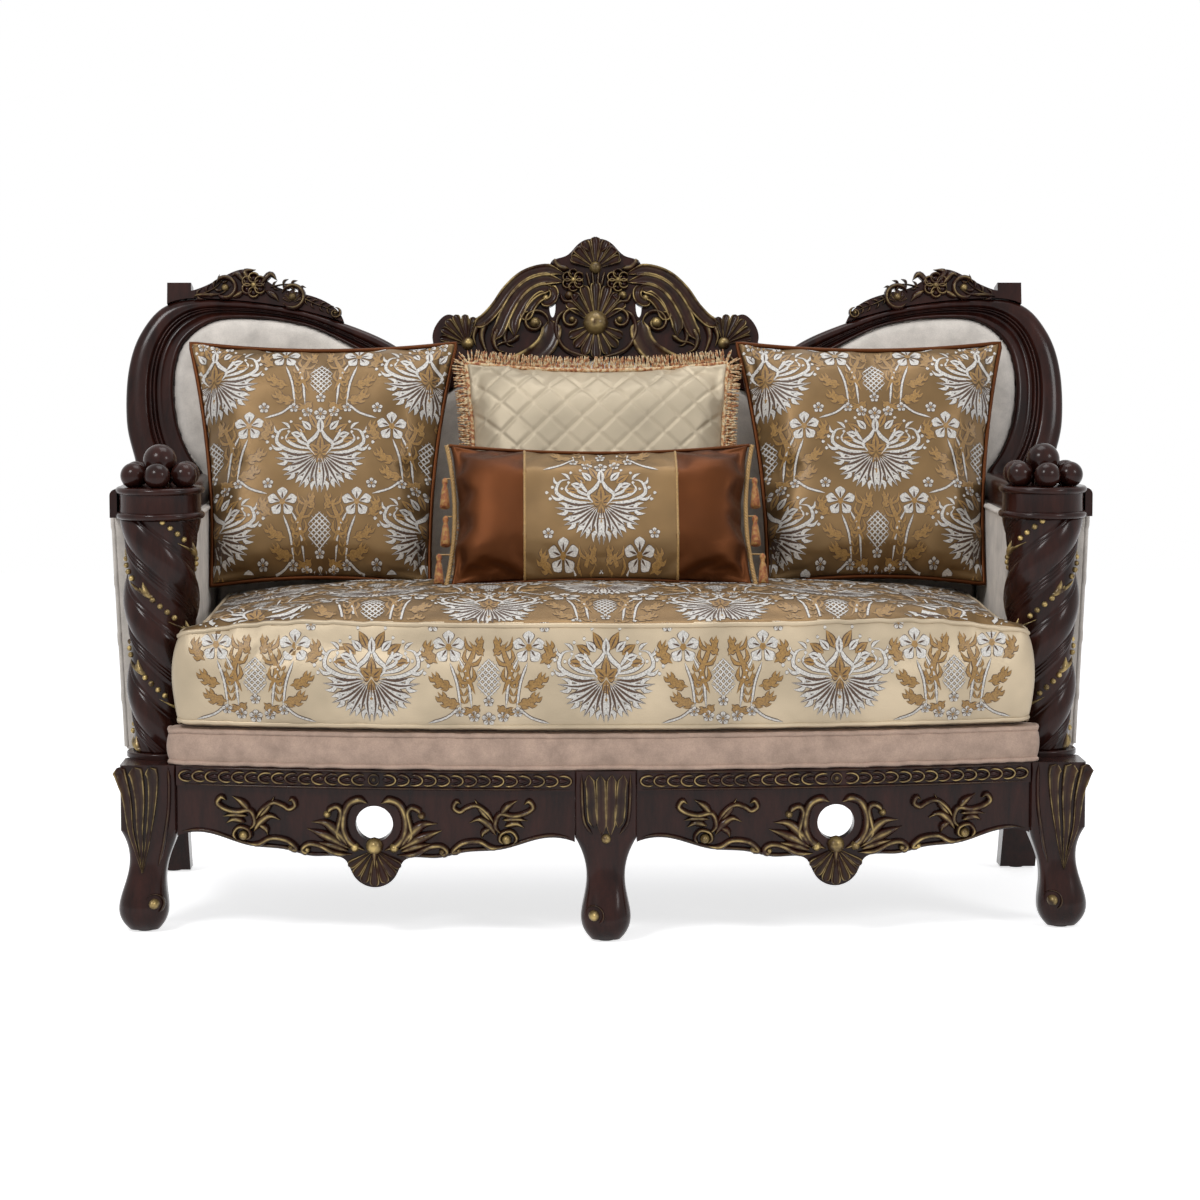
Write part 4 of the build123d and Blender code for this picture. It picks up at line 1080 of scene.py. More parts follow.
# Leaves round the flower of a wing's spray
SPRAY_LEAVES = [
    [(672, 1150), (690, 1176), (668, 1181)],
    [(660, 1150), (640, 1172), (626, 1160)],
    [(684, 1150), (704, 1172), (716, 1168)],
    [(650, 1140), (632, 1130), (622, 1118)],
    [(690, 1140), (704, 1131), (716, 1126)],
]


def hoop_lines():
    """Evenly spaced points of a hoop's outer and inner outline."""
    return [evenly(smooth_path(drawn(route), 14), WING_STEPS) for route in (WING_OUTER, WING_INNER)]


class LOVESEAT_OT_wings(bpy.types.Operator):
    """Moulded hoops round the wings of the back, with the leaf sprays on top of them"""

    bl_idname = "loveseat.wings"
    bl_label = "Back wings"

    def execute(self, context):
        for side, name in SIDES:
            self.hoop(side, name)
            self.spray(side, name)
        return {"FINISHED"}

    def hoop(self, side, name):
        """One moulded hoop."""
        points = []
        for far, near in zip(*hoop_lines()):
            for share, rise in WING_MOULDING:
                spot = far.lerp(near, share)
                points.append(back_spot(side * spot.x, spot.y, rise * MM))
        faces = tube_faces(WING_STEPS, len(WING_MOULDING))
        node = f"back_wing_frame_{name}"
        made = outward(new_object(f"moulded_{node}", points, faces, finishes["show_wood"]))
        finished(made, FRAME_BODY, "show_wood", [node])

    def spray(self, side, name):
        """Leaf spray on the hoop: two shell scrolls, a flower and leaves between them."""
        relief = carve_back(f"wing_carving_{name}", 12 * MM)

        def put(route):
            return [high(x, z, side) for x, z in route]

        acanthus(relief, put([(790, 1128), (765, 1136), (742, 1150), (730, 1168)]), 20, 9, 4, 0.35)
        relief.ridge(put([(788, 1131), (760, 1132), (735, 1134), (716, 1150)]), 12, 9, 0.3, form="tail")
        for centre, radius in (((728, 1146), 20), ((596, 1128), 22)):
            ring = [around(centre, radius, angle) for angle in range(20, 330, 34)]
            relief.ridge(put(ring), 11, 12, 0.4, form="stem", steps=3)
            relief.dome(high(*centre, side), 8, 10, 0.6)
        rosette(relief, high(672, 1150, side), 24, 6, 11, 0.9)
        for leaf in SPRAY_LEAVES:
            relief.ridge(put(leaf), 15, 10, 0.4)
        acanthus(relief, put([(640, 1146), (615, 1152), (590, 1150), (570, 1136)]), 16, 8, 4, 0.35)
        acanthus(relief, put([(576, 1126), (552, 1114), (524, 1104), (498, 1086)]), 15, 8, 5, 0.4)
        fan(relief, high(596, 1116, side), 26, 20, 160, 5, 8, 0.35)
        volute(relief, high(512, 1096, side), 12, 90, 1.2 * side, 6, 8, 0.6)
        relief.piece(f"wing_spray_{name}")


# Flutes of the crest's large leaf, its smaller leaf tips and the scroll below, x and floor height
CREST_FLUTES = [
    ([(62, 1172), (100, 1178), (140, 1166), (172, 1138), (196, 1104), (222, 1078), (246, 1070)], 20),
    ([(64, 1156), (104, 1160), (136, 1147), (160, 1121), (178, 1088), (190, 1060), (206, 1040)], 22),
    ([(82, 1143), (110, 1140), (133, 1124), (149, 1100), (160, 1076), (160, 1050)], 20),
    ([(94, 1132), (112, 1124), (126, 1108), (136, 1088), (146, 1098)], 16),
    ([(92, 1146), (82, 1136), (84, 1122), (96, 1114), (108, 1120)], 13),
]
CREST_LEAVES = [
    ([(192, 1066), (200, 1044), (194, 1024), (178, 1018)], 20),
    ([(216, 1080), (224, 1052), (218, 1026), (204, 1000)], 20),
    ([(174, 1078), (180, 1052), (174, 1034), (162, 1030)], 18),
    ([(234, 1070), (240, 1048), (234, 1028)], 16),
    ([(150, 1052), (166, 1040), (186, 1036), (204, 1024)], 16),
]
CREST_SCROLL = [(90, 1082), (88, 1056), (100, 1030), (126, 1008), (162, 990), (208, 972)]
# Lesser ridges of half the crest: route, breadth, height, gilding and form
CREST_RIDGES = [
    ([(30, 1136), (42, 1120), (62, 1118), (70, 1134)], 9, 13, 0.3, "stem"),
    ([(58, 1102), (74, 1086), (78, 1058), (64, 1028), (36, 1013), (6, 1008)], 12, 14, 0.3, "stem"),
    ([(10, 1214), (30, 1224), (46, 1210), (44, 1194), (34, 1190)], 10, 14, 0.35, "tail"),
    ([(52, 1182), (68, 1184), (78, 1192), (80, 1202)], 15, 13, 0.5, "stem"),
    ([(292, 1018), (312, 1006), (314, 984), (298, 972)], 13, 12, 0.35, "stem"),
    ([(262, 1012), (276, 996), (296, 990)], 14, 12, 0.3, "leaf"),
    ([(238, 1018), (240, 996), (256, 980), (276, 974)], 12, 11, 0.3, "leaf"),
]
# Bosses of half the crest: spot, radius, height and gilding
CREST_BOSSES = [
    ((53, 1130), 9, 16, 0.85),
    ((119, 1076), 12, 19, 0.9),
    ((98, 1124), 8, 16, 0.8),
    ((252, 1036), 13, 17, 0.8),
]


class LOVESEAT_OT_crest(bpy.types.Operator):
    """Carving of the pierced crest"""

    bl_idname = "loveseat.crest"
    bl_label = "Crest carving"

    def execute(self, context):
        relief = carve_back("back_crest", 15 * MM)
        fan(relief, high(0, 1182), 64, 12, 168, 7, 16, 0.5)
        relief.dome(high(0, 1184), 13, 17, 0.6)
        fan(relief, high(0, 1072), 86, 28, 152, 7, 18, 0.6)
        relief.dome(high(0, 1076), 26, 26, 0.7)
        fan(relief, high(0, 1074), 70, 196, 344, 7, 14, 0.6)
        for offset in (-14, -5, 5, 14):
            rib = [(offset * 0.8, 1146), (offset, 1160), (offset * 1.3, 1176)]
            relief.ridge([high(*spot) for spot in rib], 8, 12, 0.2, form="stem")
        for side in (1, -1):
            self.half(relief, side)
        relief.piece("crest_carving")
        return {"FINISHED"}

    def half(self, relief, side):
        """Scrolls, leaves and flowers of one half of the crest."""

        def put(route):
            return [high(x, z, side) for x, z in route]

        for route, width in CREST_FLUTES:
            relief.ridge(put(route), width + 6, 16, 0.8, form="stem", section=FLUTE)
        for route, width in CREST_LEAVES:
            relief.ridge(put(route), width, 13, 0.5, form="tail")
        relief.ridge(put(CREST_SCROLL), 44, 13, 0.8, form="stem", section=FLUTE)
        rosette(relief, high(44, 1158, side), 22, 6, 15, 0.9)
        for centre, radius, start, turns in (((47, 1082), 23, 150, -1.0), ((119, 1076), 28, 200, -1.2)):
            begin = start if side > 0 else 180 - start
            volute(relief, high(*centre, side), radius, begin, turns * side, 10, 15, 0.8)
        fan(relief, high(252, 1034, side), 66, *((4, 112) if side > 0 else (68, 176)), 6, 15, 0.6)
        for route, width, height, gilt, form in CREST_RIDGES:
            relief.ridge(put(route), width, height, gilt, form=form)
        for centre, radius, height, gilt in CREST_BOSSES:
            relief.dome(high(*centre, side), radius, height, gilt)


# Chain moulding of the front: where it starts and ends from the middle, and its number of links
CHAIN_START = 64.0
CHAIN_END = 756.0
CHAIN_LINKS = 29
APRON_MIDDLE = 409.75
# One half of an apron's carving: spots as x from its middle and height, breadth, form and gilding
APRON_SCROLLS = [
    ([(12, 243), (28, 249), (46, 240), (55, 217), (54, 192), (42, 171), (18, 159)], 18, "stem", 0.825),
    ([(84, 222), (78, 232), (66, 236), (59, 226), (63, 206), (66, 186), (54, 168)], 14, "stem", 0.825),
    ([(40, 151), (70, 153), (98, 166), (118, 168), (129, 159), (124, 151), (116, 155)], 13, "stem", 0.975),
    (
        [(232, 168), (208, 166), (186, 177), (160, 175), (145, 166), (139, 158), (146, 152), (152, 158)],
        13, "stem", 0.975,
    ),
    ([(246, 172), (252, 184), (242, 196), (226, 192), (222, 180), (232, 172)], 10, "stem", 0.75),
    (
        [(228, 188), (214, 204), (222, 226), (246, 223), (268, 228), (281, 238), (274, 249), (265, 243)],
        13, "stem", 0.825,
    ),
    (
        [(216, 202), (202, 226), (182, 241), (164, 237), (152, 230), (141, 237), (146, 248), (154, 243)],
        12, "stem", 0.825,
    ),
    ([(44, 164), (64, 188), (86, 206), (112, 208)], 24, "leaf", 0.75),
    ([(44, 161), (74, 178), (98, 188), (120, 196)], 22, "leaf", 0.75),
    ([(46, 157), (76, 167), (104, 172)], 17, "leaf", 0.675),
    ([(216, 188), (204, 206), (186, 217), (168, 210)], 19, "leaf", 0.75),
    ([(222, 224), (236, 240), (254, 251)], 17, "leaf", 0.75),
    ([(206, 214), (190, 232), (178, 252)], 14, "leaf", 0.675),
    ([(208, 202), (194, 194), (190, 182)], 15, "leaf", 0.675),
    ([(230, 204), (250, 210), (266, 202)], 16, "leaf", 0.75),
    ([(226, 216), (252, 218), (272, 214)], 14, "leaf", 0.6),
]
APRON_BOSSES = [((234, 181), 9.5), ((35, 164), 9), ((84, 222), 7), ((120, 158), 6), ((149, 160), 6)]
APRON_BEAD = [(x, 0) for x in (58, 80, 104, 128, 152, 180, 208, 236, 262, 284, 306, 328, 346)]
# Half breadth of an apron's shell, which alone hangs below the foot of the apron
APRON_SHELL = 56


class LOVESEAT_OT_front(bpy.types.Operator):
    """Chain moulding and carving of the aprons"""

    bl_idname = "loveseat.front"
    bl_label = "Aprons"

    def execute(self, context):
        for side, name in SIDES:
            self.chain(side, name)
            self.apron(side, name)
        return {"FINISHED"}

    def chain(self, side, name):
        """Interlaced links along the moulding, with a ring at its middle."""
        low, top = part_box(f"front_moulding_{name}")
        middle = (low[2] + top[2]) / 2 / MM
        relief = Relief(front_surface(f"front_moulding_{name}", row=middle))
        for edge in (middle - 15, middle + 15):
            run = [(side * (CHAIN_START + (CHAIN_END - CHAIN_START) * k / 14), edge) for k in range(15)]
            relief.ridge(run, 6, 4.2, 0.12, form="stem", steps=3)
        ring = CHAIN_LINKS // 2
        pitch = (CHAIN_END - CHAIN_START) / CHAIN_LINKS
        for k in range(CHAIN_LINKS):
            at = side * (CHAIN_START + pitch * (k + 0.5))
            if k == ring:
                relief.ridge(bow((at, middle), 9.5, 0, 360, 15), 5, 5, 0.6, form="stem", steps=3)
                relief.dome((at, middle), 4.5, 5, 0.3)
                continue
            away = side * math.copysign(1, k - ring)
            arc = [around((0, 0), 1, angle) for angle in range(-120, 121, 30)]
            link = [(at + away * pitch * 0.62 * x, middle + 9.2 * z) for x, z in arc]
            relief.ridge(link, 6.6, 5.8, 0.95, form="stem", steps=3)
            relief.ridge([(at - away * 9, middle), (at, middle), (at + away * 11, middle)], 11, 4.4, 0.0)
        relief.piece(f"chain_moulding_{name}")

    def apron(self, side, name):
        """Scrolls and leaves round the piercing, a shell under it, two sprays and a bead along the foot."""
        surface = front_surface(f"front_apron_{name}", row=250)
        relief = Relief(surface)
        middle = side * APRON_MIDDLE
        for hand in (1, -1):

            def put(route, hand=hand):
                """Spots of one half, kept above the foot of the apron."""
                spots = []
                for x, z in route:
                    u = middle + hand * x
                    spots.append((u, max(z, surface.foot(u, 240) + 4) if abs(x) > APRON_SHELL else z))
                return spots

            for route, width, form, gilt in APRON_SCROLLS:
                relief.ridge(put(route), width, 13, gilt, form=form)
            for centre, radius in APRON_BOSSES:
                relief.dome(put([centre])[0], radius, radius + 7, 0.95)
            relief.ridge(put(APRON_BEAD), 8, 7, 0.22, form="stem")
        fan(relief, (middle, 160), 66, 203, 337, 7, 13, 0.6)
        relief.ridge([(middle, 166), (middle, 146), (middle, 126)], 20, 15, 0.6, form="tail")
        relief.dome((middle, 166), 16, 19, 0.95)
        relief.piece(f"apron_carving_{name}")


# Middle of a corner leg's knee, x from the middle of the seat
KNEE_MIDDLE = 815


class LOVESEAT_OT_legs(bpy.types.Operator):
    """Leaf carving of the corner legs and the fluted panel of the centre leg"""

    bl_idname = "loveseat.legs"
    bl_label = "Front legs"

    def execute(self, context):
        for side, name in SIDES:
            relief = Relief(front_surface(f"front_leg_{name}", column=side * KNEE_MIDDLE))
            self.knee(relief, side)
            self.foot(relief, (side * 806, 54))
            relief.piece(f"leg_carving_{name}")
        relief = Relief(front_surface("front_leg_centre", column=0))
        for offset, foot in ((-27, 204), (-9, 190), (9, 190), (27, 204)):
            route = [(offset * 1.15, 298), (offset, 270), (offset * 0.95, 236), (offset * 0.8, foot)]
            relief.ridge(route, 19, 8, 0.6, form="stem", section=FLUTE)
        for edge in (-1, 1):
            rim = [(edge * x, z) for x, z in ((43, 300), (42, 250), (38, 214), (24, 192))]
            relief.ridge(rim, 8, 7, 0.3, form="stem")
        relief.dome((0, 184), 9, 10, 0.9)
        self.foot(relief, (-22, 50))
        relief.piece("leg_carving_centre")
        return {"FINISHED"}

    def knee(self, relief, side):
        """Leaf of three flutes down the outer half of the knee, and a bead along its inner edge."""
        for top, width in ((46, 27), (18, 30), (-10, 26)):
            flute = [(top + 7, 300), (top + 1, 282), (top * 0.8, 240), (top * 0.55 + 5, 180), (13, 108)]
            route = [(side * (KNEE_MIDDLE + x), z) for x, z in flute]
            relief.ridge(route, width, 11, 0.6, form="tail", section=FLUTE)
        rim = [(-36, 302), (-38, 270), (-36, 220), (-26, 160), (-16, 120)]
        relief.ridge([(side * (KNEE_MIDDLE + x), z) for x, z in rim], 8, 7, 0.15, form="stem")

    def foot(self, relief, eye):
        """Gold eye of a scroll foot, inside its own curl."""
        relief.dome(eye, 10, 9, 0.95)
        relief.ridge(bow(eye, 17, -60, 150, 8), 7, 5, 0.15, form="tail")


# Soft pieces


def soft_copy(name, node, voxel, material, easing=4):
    """An evenly meshed copy of a node's solid, its edges eased."""
    made = bpy.data.objects.new(name, frame["nodes"][node].data.copy())
    bpy.context.collection.objects.link(made)
    outward(made)
    remesh = made.modifiers.new("even_mesh", "REMESH")
    remesh.mode = "VOXEL"
    remesh.voxel_size = voxel
    ease = made.modifiers.new("eased_edges", "SMOOTH")
    ease.factor = 0.5
    ease.iterations = easing
    applied(made)
    made.data.materials.clear()
    made.data.materials.append(material)
    made.data.polygons.foreach_set("use_smooth", [True] * len(made.data.polygons))
    return made


def stuffed(made, pressure, cap, held, spare=0.0):
    """Fills a soft piece by cloth simulation; held says which points stay, cap how far the others may go."""
    scene = bpy.context.scene
    before = [vertex.co.copy() for vertex in made.data.vertices]
    normals = [vertex.normal.copy() for vertex in made.data.vertices]
    pins = made.vertex_groups.new(name="held")
    pins.add([i for i, spot in enumerate(before) if held(spot, normals[i])], 1.0, "REPLACE")
    cloth = made.modifiers.new("stuffing", "CLOTH")
    settings = cloth.settings
    settings.quality = 5
    settings.mass = 0.3
    settings.use_pressure = True
    settings.uniform_pressure_force = pressure
    settings.shrink_min = -spare
    settings.effector_weights.gravity = 0
    settings.vertex_group_mass = "held"
    settings.tension_stiffness = 20
    settings.compression_stiffness = 20
    settings.bending_stiffness = 0.4
    for step in range(1, 21):
        scene.frame_set(step)
    applied(made)
    made.vertex_groups.clear()
    for vertex, start in zip(made.data.vertices, before):
        shift = vertex.co - start
        if shift.length > cap:
            vertex.co = start + shift * (cap / shift.length)
    scene.frame_set(1)
    return made


def subdivided(made):
    """Smooths a soft piece by one subdivision."""
    modifier = made.modifiers.new("smoothing", "SUBSURF")
    modifier.levels = 1
    modifier.render_levels = 1
    return applied(made)


def moved(made, shift):
    """Moves each point of a piece by shift(place, normal)."""
    spots = [(vertex.co.copy(), vertex.normal.copy()) for vertex in made.data.vertices]
    for vertex, (spot, normal) in zip(made.data.vertices, spots):
        vertex.co = spot + shift(spot, normal)
    made.data.update()
    return made


def ripple(spot, scale, depth):
    """Slow unevenness of stuffing, in metres."""
    return noise.noise(spot * scale) * depth


def laid_on(path, made, lift=0.0):
    """A path moved onto the nearest places of a piece."""
    tree = tree_of(made)
    result = []
    for spot in path:
        place, normal, _, _ = tree.find_nearest(spot)
        result.append(place + normal * lift)
    return result


# Woven figures, drawn in millimetres round their middle, at this height; then the heights of the yarns
FIGURE_HEIGHT = 150
OUTLINE_LIFT = 0.35
FIGURE_LIFT = 0.75
VEIN_LIFT = 1.05
EYE_LIFT = 1.35
# Right-hand half of a medallion: hanging leaves and side curls as routes and breadths, dark lines between
# the leaves, and the arch over its heart
MEDALLION_LEAVES = [
    ([(2, -10), (7, -42), (3, -74)], 14),
    ([(7, -10), (22, -38), (37, -64)], 16),
    ([(10, -8), (38, -30), (65, -42)], 16),
    ([(12, -4), (46, -13), (80, -9)], 14),
]
MEDALLION_SHADES = [
    [(6, -14), (13, -36), (17, -56)],
    [(11, -12), (28, -32), (44, -46)],
    [(14, -8), (40, -20), (62, -25)],
    [(16, -2), (44, -4), (66, 2)],
]
MEDALLION_CURLS = [
    ([(14, 1), (50, 3), (77, 19), (71, 41), (54, 45)], 6.5),
    ([(16, 7), (44, 13), (61, 26), (55, 38)], 6),
    ([(18, 13), (38, 22), (46, 35)], 6),
    ([(23, 20), (32, 32), (37, 49)], 6),
    ([(64, 8), (78, 7), (87, 16)], 6),
    ([(72, 36), (80, 40), (82, 50)], 5),
    ([(54, 45), (60, 53), (69, 57)], 5),
]
MEDALLION_ARCH = [(1, 46), (9, 30), (23, 15), (9, -4)]
# Right-hand half of a vase: gold leaves, stems, and flowers as x, height and radius
VASE_GOLD = [
    ([(22, -26), (36, 10), (24, 44), (32, 60)], 11),
    ([(8, 36), (17, 50), (11, 68)], 8),
    ([(46, -42), (70, -40), (84, -22)], 13),
    ([(58, -14), (82, -8), (94, 10)], 12),
    ([(84, 24), (102, 40), (94, 62)], 12),
    ([(14, -44), (28, -56), (44, -52)], 9),
]
VASE_STEMS = [
    [(28, -50), (34, 0), (50, 34)],
    [(46, -50), (52, -8), (64, 26)],
    [(50, -50), (70, -66), (100, -76)],
]
VASE_FLOWERS = [(66, 50, 27), (92, 84, 10), (24, -64, 10), (48, -56, 9)]


class Brocade:
    """Figure yarns of one cloth: brown outline below, silver and gold above."""

    def __init__(self, surface):
        self.layers = {name: Relief(surface, RIBBON) for name in ("outline", "silver", "gold")}

    def stroke(self, layer, route, width, form="leaf", edge=4.6, steps=3):
        """One woven stroke with its outline."""
        self.layers["outline"].ridge(route, width + edge, OUTLINE_LIFT, form=form, steps=steps)
        self.layers[layer].ridge(route, width, FIGURE_LIFT, form=form, steps=steps)

    def vein(self, route, width, steps=3):
        """A dark line over a figure."""
        self.layers["outline"].ridge(route, width, VEIN_LIFT, steps=steps)

    def petal(self, centre, angle, start, reach, width, layer="silver", bend=0.0):
        """A pointed petal out from a centre, with a dark vein."""

        def out(*shares):
            return [around(centre, start + (reach - start) * t, angle + bend * t) for t in shares]

        self.stroke(layer, out(0.0, 0.55, 1.0), width)
        self.vein(out(0.1, 0.45, 0.8), width * 0.2, steps=2)

    def sprig(self, layer, route, width):
        """A curved leaf with small lobes either side."""
        path = smooth_path(drawn(route), 6)
        reach = sum((b - a).length for a, b in zip(path, path[1:]))
        for share in (0.22, 0.46, 0.68):
            at = int(share * (len(path) - 1))
            ahead = (path[at + 1] - path[at]).normalized()
            for side in (1, -1):
                bend = path[at] + turned(ahead, side * 58) * reach * 0.15
                tip = path[at] + turned(ahead, side * 30) * reach * 0.30
                self.stroke(layer, [path[at][:2], bend[:2], tip[:2]], width * 0.52, edge=3.0, steps=2)
        self.stroke(layer, route, width * 0.72, edge=3.4)

    def spot(self, centre, radius, layer="silver"):
        """A round dot."""
        route = [(centre[0] - radius, centre[1]), centre, (centre[0] + radius, centre[1])]
        self.stroke(layer, route, radius * 2, edge=2.0, steps=2)

    def put(self, route, centre, scale, hand):
        """Spots of a figure's half round its centre; hand is 1 on the right and -1 on the left."""
        return [(centre[0] + hand * x * scale, centre[1] + z * scale) for x, z in route]

    def medallion(self, centre, size):
        """A palmette: flames above, curled shells at the sides, hanging leaves below, a leaf at its heart."""
        scale = size / FIGURE_HEIGHT
        for hand in (1, -1):

            def put(route, hand=hand):
                return self.put(route, centre, scale, hand)

            for route, width in MEDALLION_LEAVES:
                self.sprig("silver", put(route), width * scale)
                self.vein(put(route), width * 0.24 * scale)
            for route in MEDALLION_SHADES:
                self.vein(put(route), 4.5 * scale)
            for route, width in MEDALLION_CURLS:
                self.stroke("silver", put(route), width * scale, edge=2.6)
            self.stroke("silver", put(MEDALLION_ARCH), 7 * scale, edge=3.0)
            for k in range(5):
                turn = 90 - hand * (9 + 13 * k)
                layer = "silver" if k % 2 else "gold"
                reach = (78 - 2.5 * k - 7 * (k % 2)) * scale
                self.petal(centre, turn, 46 * scale, reach, 12 * scale, layer, bend=-hand * 7)
                self.spot(around(centre, reach + 5 * scale, turn - hand * 7), 2.8 * scale)
            for dot in put([(88, 8), (84, 30), (94, 20)]):
                self.spot(dot, 3.2 * scale)
        self.petal(centre, 90, 38 * scale, 66 * scale, 13 * scale)
        for turn, reach in ((90, 34), (42, 24), (138, 24), (8, 15), (172, 15), (270, 40)):
            self.petal(centre, turn, 2 * scale, reach * scale, 13 * scale, "gold")

    def vase(self, centre, size):
        """A lattice vase between stems with flowers, gold leaves and a garland."""
        scale = size / FIGURE_HEIGHT
        for hand in (1, -1):

            def put(route, hand=hand):
                return self.put(route, centre, scale, hand)

            for k in range(-4, 5):
                inside = [t for t in range(-36, 37, 2) if ((k * 10 + t) / 21) ** 2 + (t / 33) ** 2 < 1]
                if len(inside) > 2:
                    line = [(k * 10 + t, t) for t in (inside[0], inside[len(inside) // 2], inside[-1])]
                    self.stroke("silver", put(line), 2.4 * scale, form="stem", edge=1.8, steps=2)
            for route, width in VASE_GOLD:
                self.sprig("gold", put(route), width * scale)
            for route in VASE_STEMS:
                self.stroke("silver", put(route), 3.4 * scale, form="stem", edge=2.4)
            for k in range(5):
                for side in (1, -1):
                    x, z = 40 + k, 13 * k
                    grain = [(x, z - 42), (x + side * 5, z - 36), (x + side * 5, z - 28)]
                    self.stroke("gold", put(grain), 4.2 * scale, edge=1.8, steps=2)
            for x, z, radius in VASE_FLOWERS:
                self.flower(put([(x, z)])[0], radius * scale)
        for z, radius in ((-68, 12), (-38, 9)):
            self.flower((centre[0], centre[1] + z * scale), radius * scale)

    def flower(self, centre, radius):
        """Five rounded petals round a gold eye."""
        for k in range(5):
            petal = [around(centre, radius * reach, 90 + 72 * k) for reach in (0.08, 0.6, 1.0)]
            self.stroke("silver", petal, radius * 0.68, form="petal", edge=3.0)
            vein = [around(centre, radius * reach, 90 + 72 * k) for reach in (0.2, 0.45, 0.7)]
            self.vein(vein, radius * 0.12, steps=2)
        eye = [(centre[0] + radius * share, centre[1]) for share in (-0.2, 0.0, 0.2)]
        self.layers["gold"].ridge(eye, radius * 0.4, EYE_LIFT, form="stem", steps=2)

    def cover(self, columns, rows, middle=(0.0, 0.0), first=0):
        """Medallions and vases in a checkerboard; first is 1 to begin with a vase."""
        size = sizes()
        for row in range(rows):
            for column in range(columns):
                x = middle[0] + (column - (columns - 1) / 2) * size.repeat_across / MM
                z = middle[1] + (row - (rows - 1) / 2) * size.repeat_up / MM
                if (row + column + first) % 2 == 0:
                    self.medallion((x, z), size.figure / MM)
                else:
                    self.vase((x, z), size.figure / MM)

    def pieces(self, name, body):
        """The three yarns as pieces."""
        for layer, relief in self.layers.items():
            relief.piece(f"{name}_{layer}", layer, body, "brocade")


# How far a pillow's sides draw in between its corners, and the number of faces along a side
DRAW_IN = 16.0
PILLOW_GRID = 44
PILLOW_PRESSURE = 5.0
PILLOW_CAP = 11.0 * MM
PILLOW_SPARE = 0.05


class Pillow:
    """A loose pillow in its own drawing plane: across, up its lean, and towards the sitter."""

    def __init__(self, node, width, height, thickness, tuck, lean):
        self.node = node
        self.half = width / 2
        self.rise = height / 2
        self.depth = thickness / 2
        self.tuck = tuck
        turn = math.radians(lean)
        low, top = corners_of(node)
        self.origin = (low + top) / 2
        self.across = Vector((1, 0, 0))
        self.up = Vector((0, math.sin(turn), math.cos(turn)))
        self.toward = Vector((0, -math.cos(turn), math.sin(turn)))

    def spot(self, u, v, w=0.0):
        """A place in millimetres of the pillow's plane."""
        return self.origin + (self.across * u + self.up * v + self.toward * w) * MM

    def local(self, place):
        """The reverse of spot."""
        offset = (place - self.origin) / MM
        return offset.dot(self.across), offset.dot(self.up), offset.dot(self.toward)

    def edge(self, a, b):
        """Drawn-in outline: a and b go from -1 to 1 across and up."""
        half = self.half - self.tuck * (1 - b) / 2 - DRAW_IN * (1 - b * b)
        return a * half, b * (self.rise - DRAW_IN * (1 - a * a))

    def crown(self, a, b):
        """Share of the full thickness at a place of the outline."""
        sides = ((1 - abs(a)) * self.half / self.rise, 1 - abs(b))
        share = 1.0
        for inset in sides:
            share *= math.sin(math.pi / 2 * min(1.0, inset / 0.62) ** 0.66)
        return share

    def mesh(self, name, material):
        """The stuffed pillow as a closed mesh."""
        count = PILLOW_GRID
        points, index = [], {}
        for face in (1, -1):
            for row in range(count + 1):
                for column in range(count + 1):
                    rim = row in (0, count) or column in (0, count)
                    key = (row, column, 0 if rim else face)
                    if key in index:
                        continue
                    a = -math.cos(math.pi * column / count)
                    b = -math.cos(math.pi * row / count)
                    a = 0.45 * a + 0.55 * (2 * column / count - 1)
                    b = 0.45 * b + 0.55 * (2 * row / count - 1)
                    u, v = self.edge(a, b)
                    depth = 0.0 if rim else face * self.depth * (0.08 + 0.84 * self.crown(a, b))
                    index[key] = len(points)
                    points.append(self.spot(u, v, depth))

        def at(row, column, face):
            rim = row in (0, count) or column in (0, count)
            return index[(row, column, 0 if rim else face)]

        faces = []
        for face in (1, -1):
            for row in range(count):
                for column in range(count):
                    quad = [at(row, column, face), at(row, column + 1, face)]
                    quad += [at(row + 1, column + 1, face), at(row + 1, column, face)]
                    faces.append(tuple(quad if face > 0 else reversed(quad)))
        made = new_object(name, points, faces, material)
        sewn = {tuple(round(c, 6) for c in points[i]) for key, i in index.items() if key[2] == 0}

        def held(spot, normal):
            """The sewn edge stays."""
            return tuple(round(c, 6) for c in spot) in sewn

        stuffed(made, PILLOW_PRESSURE, PILLOW_CAP, held, PILLOW_SPARE)
        self.fit(made)
        return subdivided(made)

    def fit(self, made):
        """Brings the thickness back to the solid's after stuffing."""
        most = max(abs(self.local(vertex.co)[2]) for vertex in made.data.vertices)
        share = self.depth / most
        for vertex in made.data.vertices:
            u, v, w = self.local(vertex.co)
            vertex.co = self.spot(u, v, w * share)
        made.data.update()

    def rim(self, count=160, first=0, last=4):
        """Points round the sewn edge from side first to side last, anticlockwise from the lower left."""
        corners = [(-1, -1), (1, -1), (1, 1), (-1, 1), (-1, -1)]
        path = []
        for side in range(first, last):
            (a0, b0), (a1, b1) = corners[side], corners[side + 1]
            for k in range(24):
                t = k / 24
                u, v = self.edge(a0 + (a1 - a0) * t, b0 + (b1 - b0) * t)
                path.append(self.spot(u, v))
        closed = last - first == 4
        if not closed:
            u, v = self.edge(*corners[last])
            path.append(self.spot(u, v))
        return evenly(path, count, closed)

    def surface(self, made):
        """Its front as a drawing surface."""
        return Surface(made, self.origin, self.across, self.up, facing=0.2)


